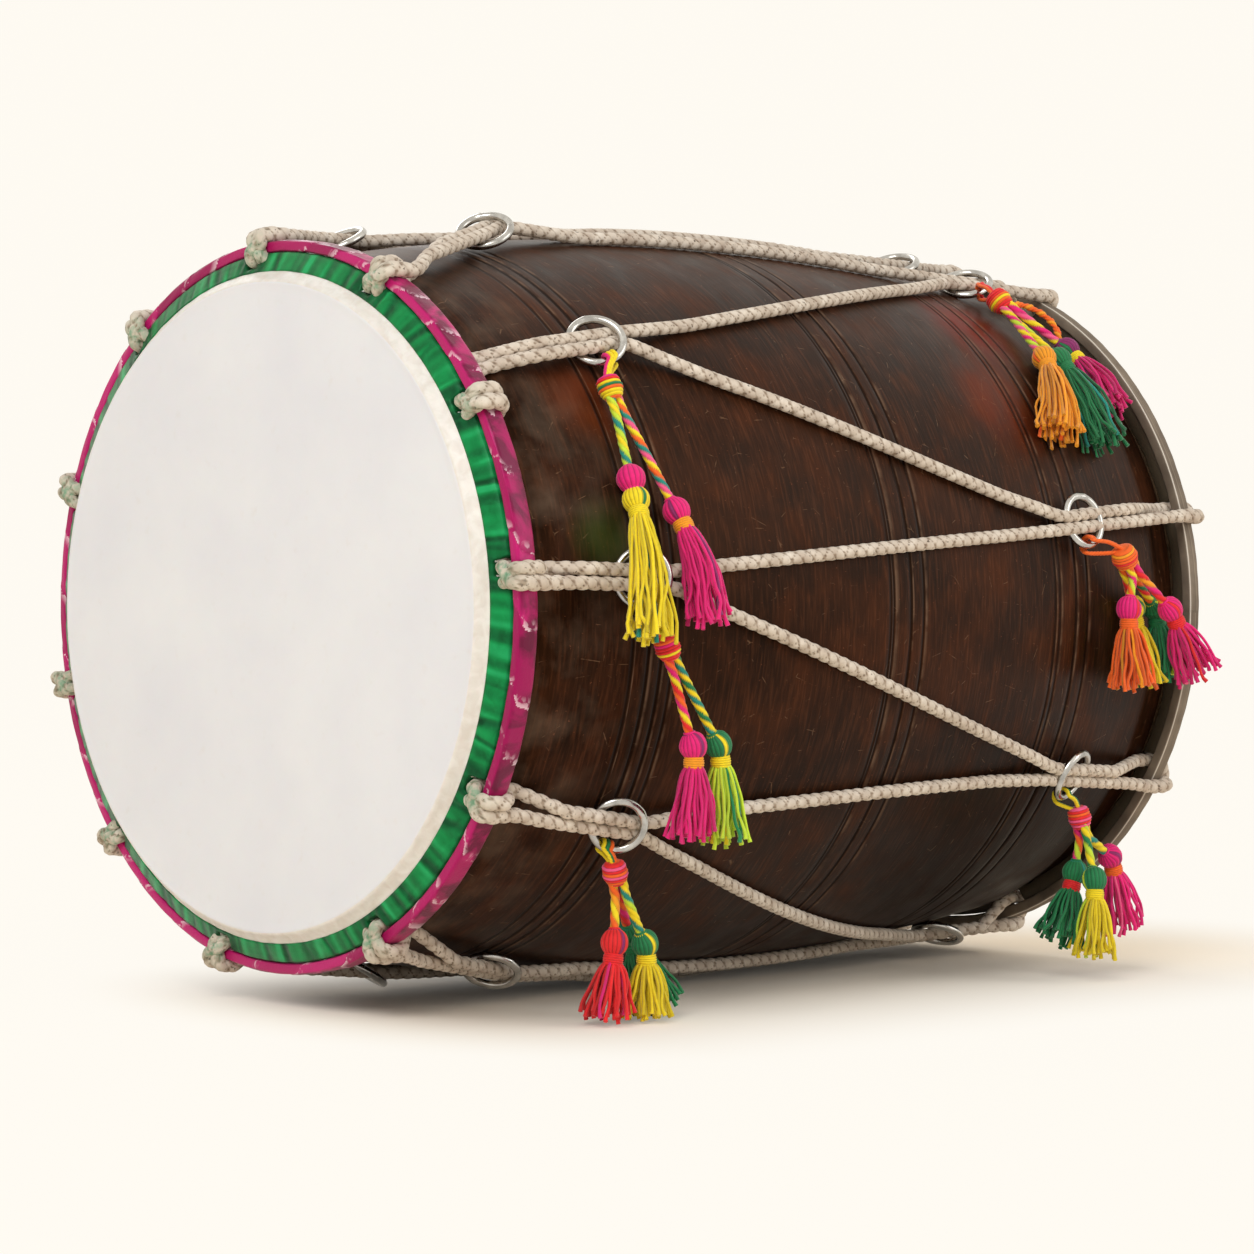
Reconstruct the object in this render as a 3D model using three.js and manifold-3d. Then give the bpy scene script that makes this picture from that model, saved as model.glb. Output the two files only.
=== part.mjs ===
// A dhol: a two-headed barrel drum with rope lacing, steel tuning rings and bunches of tassels.
// Millimetres, +Z up. The drum lies on its side on the floor, its axis along X, treble head to -X.
// Stations are distances along the axis from the outer face of the treble hoop.
// Angles go round the axis: 0 faces -Y and 90 faces up.

import * as THREE from 'three';
import { mergeVertices } from 'three/addons/utils/BufferGeometryUtils.js';
import Module from 'manifold-3d';

const wasm = await Module();
wasm.setup();

// Whole drum
const LENGTH = 553;                  // outer face of the treble hoop to outer face of the bass hoop
const BELLY_RADIUS = 217;
const SEGMENTS = 48;                 // facets round everything that is turned
const FLAT_RADIUS_SHARE = Math.cos(Math.PI / SEGMENTS);  // of a facet's corner radius, at its middle
const GAP = 0.3;                     // clearance between pieces that touch
const WELD = 1e-4;                   // corners nearer than this are one

// Shell
const WALL = 13;                     // at the belly
const END_WALL = 11;                 // at the bearing edges
const GROOVE_WIDTH = 2.4;
const GROOVE_DEPTH = 1.2;
const GROOVE_SHARES = [0.172, 0.502, 0.778];
const BARREL_STEP_SHARES = [0.11, 0.26, 0.38, 0.62, 0.7, 0.88];
const NECK_LENGTH = 20;              // turned-down length under each hoop, from its outer face
const COVE_LENGTH = 12;              // from the neck up to the barrel's curve
const BEARING_LENGTH = 8;            // turned down further, under the flesh hoop
const BEARING_CHAMFER = 4;

// Heads and their flesh hoops
const HEAD_RISE = 11;                // the head stands this far beyond the hoop's outer face
const SKIN_THICKNESS = 1.1;
const CREASE_INSET = 8.9;            // the flat of the head ends this far inside the rope's way
const SHOULDER_RISE = 3.8;
const WRAP_THICKNESS = 1.4;          // skin left under the rope where it crosses the rim
const WRAP_RISE = 2.4;
const ROLL_SET = 0.4;                // top of the rolled rim's slope, inward of the hoop's face
const ROLL_DEPTH = 4.8;
const ROLL_CLEARANCE = 1;            // rolled rim to hoop
const FLESH_HOOP_THICKNESS = 4.1;
const FLESH_HOOP_WIDTH = 6.5;
const FLESH_HOOP_SET = 4.6;          // inner edge, from the hoop's outer face
const CLOTH_THICKNESS = 0.9;
const CLOTH_START_SHARE = 0.87;      // how far up the skin's collar the cloth band starts
const NOTCH_WIDTH = 17.4;
const NOTCH_OVERRUN = 12;
const PASTE_RADIUS = 62;
const PASTE_THICKNESS = 4;
const PASTE_EDGE_SHARE = 0.6;

// Counter-hoops, round which the rope is hitched. They stand out beyond the barrel's ends by hoopStand.
const treble = { face: 0, inward: 1, hoopRadius: 204, hoopThickness: 7, hoopWidth: 13.5, hoopStand: 14 };
const bass = {
  face: LENGTH, inward: -1, hoopRadius: 210, hoopThickness: 7.5, hoopWidth: 9.3, hoopStand: 13.3,
};
const HOOP_CHAMFER = 1.6;

// Rope
const ROPE_RADIUS = 3.5;
const ROPE_SIDES = 6;
const STRAND_PITCH = 7.7;            // between the two strands that a ring holds together
const HITCH_PITCH = 8.8;             // between the two strands where they pass the hoop
const STEM_START = 28;               // where the strands run straight, from the hoop's inner edge
const STEM_END = 16.5;               // past the ring's middle
const EXIT_SHARES = [[0.22, 0.08], [0.43, 0.35], [0.64, 0.6]];  // from under the hoop to the straight run
const LEG_STEPS = 5;
const EASE_SHARE = 0.16;
const FLAT_SHARE = 0.1;              // of the rope's diameter, pressed flat where the drum rests

// Tuning rings
const RING_RADIUS = 14.7;            // to the middle of the wire
const WIRE_RADIUS = 2.3;
const RING_TILT = 25.5;              // to the strands, in degrees: far side over them, hoop side under
const RING_LIFT = 8.8;               // ring's middle above the barrel
const SLIDE = 18;                    // travel towards the hoop, where nothing is in the way
const SHORT_SLIDE = 10;
const SHORTEST_SLIDE = 6;

// Tassels
const SPAN = 100;                    // the shares that place ties and tassels are of this length
const CORD_RADIUS = 2.6;
const KNOB_RADIUS = 7.3;             // the tassel's ball-shaped head
const NECK_RADIUS = 5.2;
const FRINGE_RADIUS = 9;             // at the tip
const TASSEL_SIDES = 7;
const LOOP_WIRE_RADIUS = 1.8;
const LOOP_CLEARANCE = 0.6;
const WRAP_RADIUS = 7.2;
const WRAP_HALF_LENGTH = 6.8;
const CORD_LEAD = 5;                 // straight start of a cord, out of the wrap's end

// Rings in the rope's order: station as a share of the drum's length, angle of the ring, angle of the
// hitch on the hoop and travel. Aim is where on the hoop the strands point, where that isn't the hitch.
// The photographed side is irregular, the far side closes evenly.
const trebleRings = [
  { share: 0.172, angle: -99.5, hitch: -103.3, slide: SLIDE },
  { share: 0.181, angle: -70.5, hitch: -62.6, slide: SLIDE },
  { share: 0.168, angle: -32.2, hitch: -29.1, slide: SLIDE, upperBow: 1.9 },
  { share: 0.145, angle: 5.5, hitch: 6.2, slide: SHORTEST_SLIDE },
  { share: 0.175, angle: 43.6, hitch: 34, aim: 40.5, slide: SHORT_SLIDE, lowerBow: -2.5, upperBow: -3.3 },
  { share: 0.203, angle: 78, hitch: 63.8, slide: SLIDE, lift: 1.6 },
  { share: 0.127, angle: 99, hitch: 94.5, slide: SHORT_SLIDE },
  { share: 0.168, angle: 131, hitch: 128.9, slide: SLIDE },
  { share: 0.175, angle: 162, hitch: 161.4, slide: SLIDE },
  { share: 0.165, angle: 193, hitch: 194.3, slide: SLIDE },
  { share: 0.178, angle: 224, hitch: 223.1, slide: SLIDE },
];
const bassRings = [
  { share: 0.886, angle: -95, hitch: -97, slide: SHORT_SLIDE },
  { share: 0.879, angle: -74.2, hitch: -71, slide: SHORT_SLIDE },
  { share: 0.821, angle: -26.9, hitch: -29.3, slide: SLIDE },
  { share: 0.794, angle: 14.2, hitch: 16.9, slide: SHORT_SLIDE },
  { share: 0.875, angle: 69, hitch: 67.5, slide: SHORT_SLIDE },
  { share: 0.875, angle: 86, hitch: 90, slide: SHORT_SLIDE },
  { share: 0.835, angle: 115.8, hitch: 117, slide: SLIDE },
  { share: 0.845, angle: 145.7, hitch: 145, slide: SLIDE },
  { share: 0.83, angle: 175.5, hitch: 176, slide: SLIDE },
  { share: 0.85, angle: 205.3, hitch: 205, slide: SLIDE },
  { share: 0.838, angle: 235.2, hitch: 234, slide: SLIDE },
];

// Bunches of tassels. Each hangs on the lower side of one ring. Wrap, heads, bends and tips have three
// values: how far along the axis from there, how far out from the barrel, both as shares of SPAN, and
// the turn round the axis in degrees. Seat is where round the wrap's end the cord leaves it, and swing
// how far the bunch can swing outward, both in degrees.
const bunches = [
  {
    name: 'upper_treble', swing: 60, rings: trebleRings, ring: 4, wrap: [-0.107, 0.099, -5.13],
    tassels: [
      { name: 'yellow', seat: 180, head: [-0.172, 0.1, -23.09], bend: [-0.309, 0.29, -34.7],
        tip: [-0.372, 0.367, -43] },
      { name: 'magenta', seat: 0, head: [0.078, 0.105, -24.98], bend: [0.103, 0.2, -32.74],
        tip: [0.128, 0.237, -41.09] },
    ],
  },
  {
    name: 'middle_treble', swing: 24, rings: trebleRings, ring: 3, wrap: [0.115, 0.158, -5.94],
    tassels: [
      { name: 'magenta', seat: 180, head: [0.259, 0.294, -18.76], tip: [0.253, 0.49, -29.64] },
      { name: 'lime', seat: 0, head: [0.448, 0.273, -18.76], tip: [0.495, 0.47, -29.93] },
    ],
  },
  {
    name: 'lower_treble', swing: 55, rings: trebleRings, ring: 2, wrap: [0.044, 0.201, -2.26],
    tassels: [
      { name: 'red', seat: 180, head: [0.029, 0.469, -8.85], tip: [-0.021, 0.78, -14.75] },
      { name: 'yellow', seat: 60, head: [0.259, 0.455, -9.17], tip: [0.279, 0.752, -14.87] },
      { name: 'green', seat: 300, head: [0.309, 0.297, -11.57], tip: [0.479, 0.633, -16.43] },
    ],
  },
  {
    name: 'upper_bass', swing: 60, rings: bassRings, ring: 4, wrap: [-0.057, 0.119, -5.64],
    tassels: [
      { name: 'amber', seat: 180, head: [-0.127, 0.088, -20.49], bend: [-0.295, 0.102, -29.17],
        tip: [-0.467, 0.098, -37.02] },
      { name: 'green', seat: 300, head: [0.026, 0.096, -20.4], bend: [0.008, 0.106, -29.64],
        tip: [-0.01, 0.106, -38.3] },
      { name: 'magenta', seat: 60, head: [0.222, 0.096, -17.16], bend: [0.225, 0.112, -24.44],
        tip: [0.212, 0.106, -31.25] },
    ],
  },
  {
    name: 'middle_bass', swing: 45, rings: bassRings, ring: 3, wrap: [0.236, 0.183, -2.17],
    tassels: [
      { name: 'orange', seat: 135, head: [0.246, 0.19, -10.07], tip: [0.276, 0.249, -21.76] },
      { name: 'yellow', seat: 225, head: [0.436, 0.085, -10.06], tip: [0.526, 0.151, -22.68] },
      { name: 'green', seat: 315, head: [0.646, 0.104, -10.06], tip: [0.726, 0.162, -21.69] },
      { name: 'magenta', seat: 45, head: [0.59, 0.265, -10.2], tip: [0.8, 0.36, -19.6] },
    ],
  },
  {
    name: 'lower_bass', swing: 45, rings: bassRings, ring: 2, wrap: [0.124, 0.203, -2.35],
    tassels: [
      { name: 'green', seat: 240, head: [0.124, 0.378, -9.4], tip: [-0.036, 0.645, -15.98] },
      { name: 'yellow', seat: 120, head: [0.094, 0.533, -7.36], tip: [0.084, 0.839, -14.21] },
      { name: 'magenta', seat: 0, head: [0.444, 0.369, -7.8], tip: [0.574, 0.681, -15.1] },
    ],
  },
];

// Colours
const materials = {
  shell: { color: 0x33211a, roughness: 0.42, metalness: 0 },
  white_skin: { color: 0xe9e6e0, roughness: 0.5, metalness: 0 },
  goat_skin: { color: 0xcdb892, roughness: 0.6, metalness: 0 },
  cane: { color: 0xb08a55, roughness: 0.7, metalness: 0 },
  green_cloth: { color: 0x12a05a, roughness: 0.55, metalness: 0 },
  magenta_ribbon: { color: 0xd21873, roughness: 0.4, metalness: 0 },
  bare_wood: { color: 0x8b7d6c, roughness: 0.8, metalness: 0 },
  paste: { color: 0x2b2522, roughness: 0.9, metalness: 0 },
  rope: { color: 0xd9cbbb, roughness: 0.9, metalness: 0 },
  steel: { color: 0xb9b6b1, roughness: 0.2, metalness: 1 },
  yellow: { color: 0xf6d310, roughness: 0.8, metalness: 0 },
  magenta: { color: 0xe3107c, roughness: 0.8, metalness: 0 },
  lime: { color: 0xc9d81a, roughness: 0.8, metalness: 0 },
  red: { color: 0xe01a2c, roughness: 0.8, metalness: 0 },
  green: { color: 0x0c7a46, roughness: 0.8, metalness: 0 },
  amber: { color: 0xf39a0c, roughness: 0.8, metalness: 0 },
  orange: { color: 0xf76a12, roughness: 0.8, metalness: 0 },
};

// Radii that follow from the hoops; drop is how much narrower than the belly the barrel's end is
for (const end of [treble, bass]) {
  end.drop = BELLY_RADIUS - (end.hoopRadius - end.hoopStand);
  end.hoopBore = end.hoopRadius - end.hoopThickness;
  end.ropeCeiling = end.hoopBore * FLAT_RADIUS_SHARE;
  end.ropeFloor = end.ropeCeiling - 2 * ROPE_RADIUS - 3 * GAP;
  end.neckRadius = end.ropeFloor - GAP;
  end.wrapRadius = end.ropeFloor - WRAP_THICKNESS;
  end.rimRadius = end.hoopBore - ROLL_CLEARANCE;
  end.creaseRadius = end.ropeFloor - CREASE_INSET;
  end.fleshHoopRadius = end.wrapRadius - GAP;
  end.bearingRadius = end.fleshHoopRadius - FLESH_HOOP_THICKNESS - GAP;
}

const lerp = THREE.MathUtils.lerp;

// Barrel's outer radius at a station, a parabola each way from the belly
function barrelRadius(station) {
  const share = (station - LENGTH / 2) / (LENGTH / 2);
  return BELLY_RADIUS - (share < 0 ? treble.drop : bass.drop) * share * share;
}

// Point in space from a station, a distance from the axis and an angle
function point(station, radius, angle) {
  const turn = THREE.MathUtils.degToRad(angle);
  return new THREE.Vector3(station, -radius * Math.cos(turn), radius * Math.sin(turn));
}

// Directions at an angle: outward from the axis, and along increasing angle
const outwardAt = (angle) => point(0, 1, angle);
const roundAt = (angle) => point(0, 1, angle + 90);

// Closed body with shared vertices, no empty triangles and faces that point out
function closedBody(geometry) {
  const bare = new THREE.BufferGeometry();
  bare.setAttribute('position', geometry.getAttribute('position').clone());
  if (geometry.index) bare.setIndex(geometry.index.clone());
  const merged = mergeVertices(bare, WELD);
  const at = (i) => new THREE.Vector3().fromBufferAttribute(merged.getAttribute('position'), i);
  const kept = [];
  let volume = 0;
  for (let i = 0; i < merged.index.count; i += 3) {
    const [a, b, c] = [0, 1, 2].map((k) => merged.index.getX(i + k));
    if (a === b || b === c || c === a) continue;
    volume += at(a).dot(at(b).cross(at(c)));
    kept.push([a, b, c]);
  }
  merged.setIndex(kept.flatMap(([a, b, c]) => (volume < 0 ? [a, c, b] : [a, b, c])));
  return merged;
}

function toManifold(geometry) {
  const body = closedBody(geometry);
  return new wasm.Manifold(new wasm.Mesh({
    numProp: 3,
    vertProperties: new Float32Array(body.getAttribute('position').array),
    triVerts: new Uint32Array(body.index.array),
  }));
}

function fromManifold(solid) {
  const mesh = solid.getMesh();
  const geometry = new THREE.BufferGeometry();
  geometry.setAttribute('position', new THREE.BufferAttribute(new Float32Array(mesh.vertProperties), 3));
  geometry.setIndex(Array.from(mesh.triVerts));
  return geometry;
}

// Solid of revolution about the drum's axis from [station, radius] points
function turned(outline) {
  const points = outline.map(([station, radius]) => new THREE.Vector2(radius, station));
  const open = outline[0][1] === 0;
  if (!open) points.push(points[0].clone());
  return closedBody(new THREE.LatheGeometry(points, SEGMENTS).rotateZ(-Math.PI / 2));
}

// Round tube through points, with a radius at each; the section is carried along without twist
function tube(points, radii, sides, ring = false) {
  const count = points.length;
  const near = (i) => (ring ? points[(i + count) % count] : points[THREE.MathUtils.clamp(i, 0, count - 1)]);
  const along = points.map((_, i) => near(i + 1).clone().sub(near(i - 1)).normalize());
  const side = new THREE.Vector3(0, 0, 1).cross(along[0]).normalize();
  if (side.lengthSq() === 0) side.set(0, 1, 0);
  const positions = [];
  for (let i = 0; i < count; i += 1) {
    side.addScaledVector(along[i], -side.dot(along[i])).normalize();
    const up = along[i].clone().cross(side);
    for (let k = 0; k < sides; k += 1) {
      const turn = (2 * Math.PI * k) / sides;
      const corner = points[i].clone()
        .addScaledVector(side, radii[i] * Math.cos(turn))
        .addScaledVector(up, radii[i] * Math.sin(turn));
      positions.push(corner.x, corner.y, corner.z);
    }
  }
  // On a closed tube the last section meets the first at the nearest match of their corners
  let shift = 0;
  if (ring) {
    const corner = (k) => new THREE.Vector3().fromArray(positions, 3 * k);
    const carried = side.clone().addScaledVector(along[0], -side.dot(along[0])).normalize();
    const target = points[0].clone().addScaledVector(carried, radii[0]);
    const gaps = Array.from({ length: sides }, (_, k) => corner(k).distanceTo(target));
    shift = gaps.indexOf(Math.min(...gaps));
  }
  const index = [];
  for (let i = 0; i < (ring ? count : count - 1); i += 1) {
    const last = i === count - 1;
    for (let k = 0; k < sides; k += 1) {
      const a = i * sides + k;
      const b = i * sides + ((k + 1) % sides);
      const c = last ? (k + shift) % sides : a + sides;
      const d = last ? (k + 1 + shift) % sides : b + sides;
      index.push(a, b, d, a, d, c);
    }
  }
  if (!ring) {
    for (let k = 1; k < sides - 1; k += 1) {
      index.push(0, k + 1, k);
      const end = (count - 1) * sides;
      index.push(end, end + k, end + k + 1);
    }
  }
  const geometry = new THREE.BufferGeometry();
  geometry.setAttribute('position', new THREE.Float32BufferAttribute(positions, 3));
  geometry.setIndex(index);
  return closedBody(geometry);
}

const drum = new THREE.Group();

function add(name, geometry, finish) {
  const mesh = new THREE.Mesh(geometry, new THREE.MeshStandardMaterial(materials[finish]));
  mesh.name = name;
  drum.add(mesh);
  return mesh;
}

// Outline point of an end: distance inward from its hoop's outer face, and radius
const endPoint = (end, inward, radius) => [end.face + end.inward * inward, radius];

// Shell: a barrel with grooves, turned down under the hoops, bored out from both ends
function shellEnd(end) {
  const crest = HEAD_RISE - SKIN_THICKNESS - GAP;
  const cove = NECK_LENGTH + COVE_LENGTH;
  return {
    outside: [
      endPoint(end, -crest, end.bearingRadius - BEARING_CHAMFER),
      endPoint(end, BEARING_CHAMFER - crest, end.bearingRadius),
      endPoint(end, BEARING_LENGTH, end.bearingRadius),
      endPoint(end, BEARING_LENGTH, end.neckRadius),
      endPoint(end, NECK_LENGTH, end.neckRadius),
      endPoint(end, cove, barrelRadius(end.face + end.inward * cove)),
    ],
    inside: [
      endPoint(end, -crest, end.bearingRadius - END_WALL),
      endPoint(end, BEARING_LENGTH, end.bearingRadius - END_WALL),
    ],
  };
}

function makeShell() {
  const ends = [treble, bass].map(shellEnd);
  const middle = BARREL_STEP_SHARES.map((share) => [share * LENGTH, barrelRadius(share * LENGTH)]);
  for (const share of GROOVE_SHARES) {
    const station = share * LENGTH;
    middle.push(
      [station - GROOVE_WIDTH / 2, barrelRadius(station - GROOVE_WIDTH / 2)],
      [station, barrelRadius(station) - GROOVE_DEPTH],
      [station + GROOVE_WIDTH / 2, barrelRadius(station + GROOVE_WIDTH / 2)],
    );
  }
  middle.sort((a, b) => a[0] - b[0]);
  add('shell', turned([
    ...ends[0].outside,
    ...middle,
    ...ends[1].outside.reverse(),
    ...ends[1].inside,
    [LENGTH / 2, BELLY_RADIUS - WALL],
    ...ends[0].inside.reverse(),
  ]), 'shell');
}

// Slope of the skin's outside from the flat head to the top of its rolled rim
const skinSlope = (end) => [
  endPoint(end, -HEAD_RISE, end.creaseRadius),
  endPoint(end, -SHOULDER_RISE, end.wrapRadius),
  endPoint(end, ROLL_SET, end.rimRadius),
];

// Room for the rope through the rim at each hitch, cut down to the rope's floor
function cutNotches(geometry, end, rings) {
  let solid = toManifold(geometry);
  const height = NOTCH_OVERRUN + end.hoopBore - end.ropeFloor;
  for (const ring of rings) {
    const box = new THREE.BoxGeometry(2 * (HEAD_RISE + NOTCH_OVERRUN), NOTCH_WIDTH, height);
    box.translate(end.face, 0, end.ropeFloor + height / 2);
    box.rotateX(THREE.MathUtils.degToRad(90 - ring.hitch));
    solid = solid.subtract(toManifold(box));
  }
  return fromManifold(solid);
}

function makeHead(end, name, finish, rings) {
  const outline = [
    endPoint(end, -HEAD_RISE, 0),
    ...skinSlope(end),
    endPoint(end, ROLL_DEPTH, end.rimRadius),
    endPoint(end, ROLL_DEPTH, end.wrapRadius),
    endPoint(end, -WRAP_RISE, end.wrapRadius),
    endPoint(end, SKIN_THICKNESS - HEAD_RISE, end.creaseRadius - GAP),
    endPoint(end, SKIN_THICKNESS - HEAD_RISE, 0),
  ];
  add(`${name}_skin`, cutNotches(turned(outline), end, rings), finish);
  const inner = end.fleshHoopRadius - FLESH_HOOP_THICKNESS;
  add(`${name}_flesh_hoop`, turned([
    endPoint(end, FLESH_HOOP_SET - FLESH_HOOP_WIDTH, inner),
    endPoint(end, FLESH_HOOP_SET - FLESH_HOOP_WIDTH, end.fleshHoopRadius),
    endPoint(end, FLESH_HOOP_SET, end.fleshHoopRadius),
    endPoint(end, FLESH_HOOP_SET, inner),
  ]), 'cane');
}

// Line of outline points moved sideways, away from the skin
function offset(points, distance) {
  const normals = points.slice(1).map(([s, r], i) => {
    const run = new THREE.Vector2(s - points[i][0], r - points[i][1]).normalize();
    return new THREE.Vector2(-run.y, run.x);
  });
  return points.map(([s, r], i) => {
    const a = normals[Math.max(i - 1, 0)];
    const b = normals[Math.min(i, normals.length - 1)];
    const mitre = a.clone().add(b).divideScalar(1 + a.dot(b));
    return [s + distance * mitre.x, r + distance * mitre.y];
  });
}

// Green cloth band on the slope of the treble head's rim
function makeClothBand() {
  const slope = skinSlope(treble);
  slope[0] = [0, 1].map((k) => lerp(slope[0][k], slope[1][k], CLOTH_START_SHARE));
  const outline = [...offset(slope, GAP + CLOTH_THICKNESS), ...offset(slope, GAP).reverse()];
  add('treble_cloth_band', cutNotches(turned(outline), treble, trebleRings), 'green_cloth');
}

function makeHoop(end, name, finish) {
  const { hoopWidth: width, hoopRadius: outer, hoopBore: inner } = end;
  add(`${name}_hoop`, turned([
    endPoint(end, 0, inner + HOOP_CHAMFER / 2),
    endPoint(end, 0, outer - HOOP_CHAMFER),
    endPoint(end, HOOP_CHAMFER, outer),
    endPoint(end, width - HOOP_CHAMFER, outer),
    endPoint(end, width, outer - HOOP_CHAMFER),
    endPoint(end, width, inner + HOOP_CHAMFER / 2),
    endPoint(end, width - HOOP_CHAMFER / 2, inner),
    endPoint(end, HOOP_CHAMFER / 2, inner),
  ]), finish);
}

// Tuning paste: a low cake on the inside of the bass head
function makePaste() {
  const base = HEAD_RISE - SKIN_THICKNESS - GAP;
  add('bass_paste', turned([
    endPoint(bass, -base, 0),
    endPoint(bass, -base, PASTE_RADIUS),
    endPoint(bass, PASTE_THICKNESS / 2 - base, PASTE_RADIUS),
    endPoint(bass, PASTE_THICKNESS - base, PASTE_EDGE_SHARE * PASTE_RADIUS),
    endPoint(bass, PASTE_THICKNESS - base, 0),
  ]), 'paste');
}

// Stem: where two strands run side by side from a hoop's hitch through their ring. Its directions are
// along (towards the belly), round (increasing angle) and out.
function stemOf(end, ring) {
  const station = ring.share * LENGTH;
  const lift = RING_LIFT + (ring.lift ?? 0);
  const centre = point(station, barrelRadius(station) + lift, ring.angle);
  const hoopMiddle = end.face + end.inward * end.hoopWidth / 2;
  const anchor = point(hoopMiddle, end.hoopRadius + GAP + ROPE_RADIUS, ring.aim ?? ring.hitch);
  const along = centre.clone().sub(anchor).normalize();
  const round = roundAt(ring.angle);
  round.addScaledVector(along, -round.dot(along)).normalize();
  const out = along.clone().cross(round).normalize();
  if (out.dot(outwardAt(ring.angle)) < 0) out.negate();
  const length = centre.distanceTo(anchor) - end.hoopWidth / 2 - STEM_START;
  return { end, ring, centre, along, round, out, length };
}

// Points of one strand's straight run: from the hitch's side to past the ring
function strand(stem, side) {
  const offsetRound = (side * STRAND_PITCH) / 2;
  return [-stem.length, STEM_END].map((distance) => stem.centre.clone()
    .addScaledVector(stem.along, distance)
    .addScaledVector(stem.round, offsetRound));
}

// Hitch round a hoop: over its outside, down its face, across and back through the notch beneath it.
// The list gives, in named sizes, distance inward from the face, radius and share of the pitch.
function hitch(stem) {
  const { end, ring } = stem;
  const lift = ROPE_RADIUS + GAP;
  const over = end.hoopRadius + lift;
  const under = end.ropeCeiling - ROPE_RADIUS - 1.5 * GAP;
  const width = end.hoopWidth;
  const middle = (end.hoopRadius + end.hoopBore) / 2;
  const rope = ROPE_RADIUS;
  const start = strand(stem, 1)[0];
  const run = end.inward * (start.x - end.face) - width;
  const rise = Math.hypot(start.y, start.z) - under;
  return [
    [width + rope, over, -1],
    [rope / 2, over, -1],
    [-0.8 * rope, over - 0.35 * rope, -1],
    [-lift, end.hoopRadius - 0.5 * rope, -0.9],
    [-1.1 * lift, middle + 0.1 * rope, -0.5],
    [-1.1 * lift, middle - 0.5 * rope, 0.35],
    [-0.95 * lift, end.hoopBore - 0.25 * rope, 0.9],
    [-0.3 * rope, under + 0.15 * rope, 1],
    [rope, under, 1],
    [width, under, 1],
    ...EXIT_SHARES.map(([along, away]) => [width + along * run, under + away * rise, 1]),
  ].map(([inward, radius, side]) => point(end.face + end.inward * inward, radius, ring.hitch)
    .addScaledVector(roundAt(ring.hitch), (side * HITCH_PITCH) / 2));
}

// Leg from one ring to the next across the belly, lying on the barrel; bow is how far its middle is
// off the even course, in degrees. Its steps are straight, so they are lifted by the barrel's bulge.
function leg(from, to, bow) {
  const [a, b] = [from, to].map((end) => ({
    station: end.x,
    angle: THREE.MathUtils.radToDeg(Math.atan2(end.z, -end.y)),
    lift: Math.hypot(end.y, end.z) - barrelRadius(end.x),
  }));
  const turn = THREE.MathUtils.euclideanModulo(b.angle - a.angle + 180, 360) - 180;
  const stepShare = (b.station - a.station) / LEG_STEPS / LENGTH;
  const stepTurn = THREE.MathUtils.degToRad(turn / LEG_STEPS);
  const bulge = Math.max(treble.drop, bass.drop, 0) * stepShare ** 2
    + BELLY_RADIUS * (1 - Math.cos(stepTurn / 2));
  const legLift = ROPE_RADIUS + GAP + bulge;
  const points = [];
  for (let i = 1; i < LEG_STEPS; i += 1) {
    const share = i / LEG_STEPS;
    const station = lerp(a.station, b.station, share);
    const ease = Math.max(0, 1 - Math.min(share, 1 - share) / EASE_SHARE);
    const lift = lerp(legLift, share < 0.5 ? a.lift : b.lift, ease);
    const angle = a.angle + share * turn + 4 * bow * share * (1 - share);
    points.push(point(station, barrelRadius(station) + lift, angle));
  }
  return points;
}

// The whole rope, one closed loop: strand, hitch, strand, leg, from end to end and round the drum
function ropeRoute(stems) {
  const points = [];
  stems.forEach((stem, i) => {
    const [hitchSideIn, ringSideIn] = strand(stem, -1);
    const [hitchSideOut, ringSideOut] = strand(stem, 1);
    points.push(ringSideIn, hitchSideIn, ...hitch(stem), hitchSideOut, ringSideOut);
    const next = stems[(i + 1) % stems.length];
    const bow = stem.ring.upperBow ?? next.ring.lowerBow ?? 0;
    points.push(...leg(ringSideOut, strand(next, -1)[1], bow));
  });
  return points;
}

function makeRope(stems) {
  const route = ropeRoute(stems);
  const rope = tube(route, route.map(() => ROPE_RADIUS), ROPE_SIDES, true);
  rope.computeBoundingBox();
  const floor = rope.boundingBox.min.z + FLAT_SHARE * 2 * ROPE_RADIUS;
  const ground = new THREE.BoxGeometry(2 * LENGTH, 2 * LENGTH, LENGTH);
  ground.translate(LENGTH / 2, 0, floor - LENGTH / 2);
  add('lacing_rope', fromManifold(toManifold(rope).subtract(toManifold(ground))), 'rope');
  return floor;
}

// Ring: leaning across its two strands, far side over them and hoop side under
function makeRing(stem, name) {
  const tilt = THREE.MathUtils.degToRad(RING_TILT);
  const lean = stem.along.clone().multiplyScalar(Math.cos(tilt)).addScaledVector(stem.out, Math.sin(tilt));
  const axis = lean.clone().cross(stem.round);
  const geometry = new THREE.TorusGeometry(RING_RADIUS, WIRE_RADIUS, 5, 10);
  geometry.applyMatrix4(new THREE.Matrix4().makeBasis(lean, stem.round, axis).setPosition(stem.centre));
  const mesh = add(name, closedBody(geometry), 'steel');
  mesh.userData.slide = { axis: stem.along.toArray(), travel: stem.ring.slide };
  return lean;
}

// Place beside the barrel, from a point on a ring's wire
function beside(wire, [alongShare, outShare, turn]) {
  const station = wire.x + alongShare * SPAN;
  const angle = THREE.MathUtils.radToDeg(Math.atan2(wire.z, -wire.y)) + turn;
  return point(station, barrelRadius(station) + outShare * SPAN, angle);
}

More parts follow.
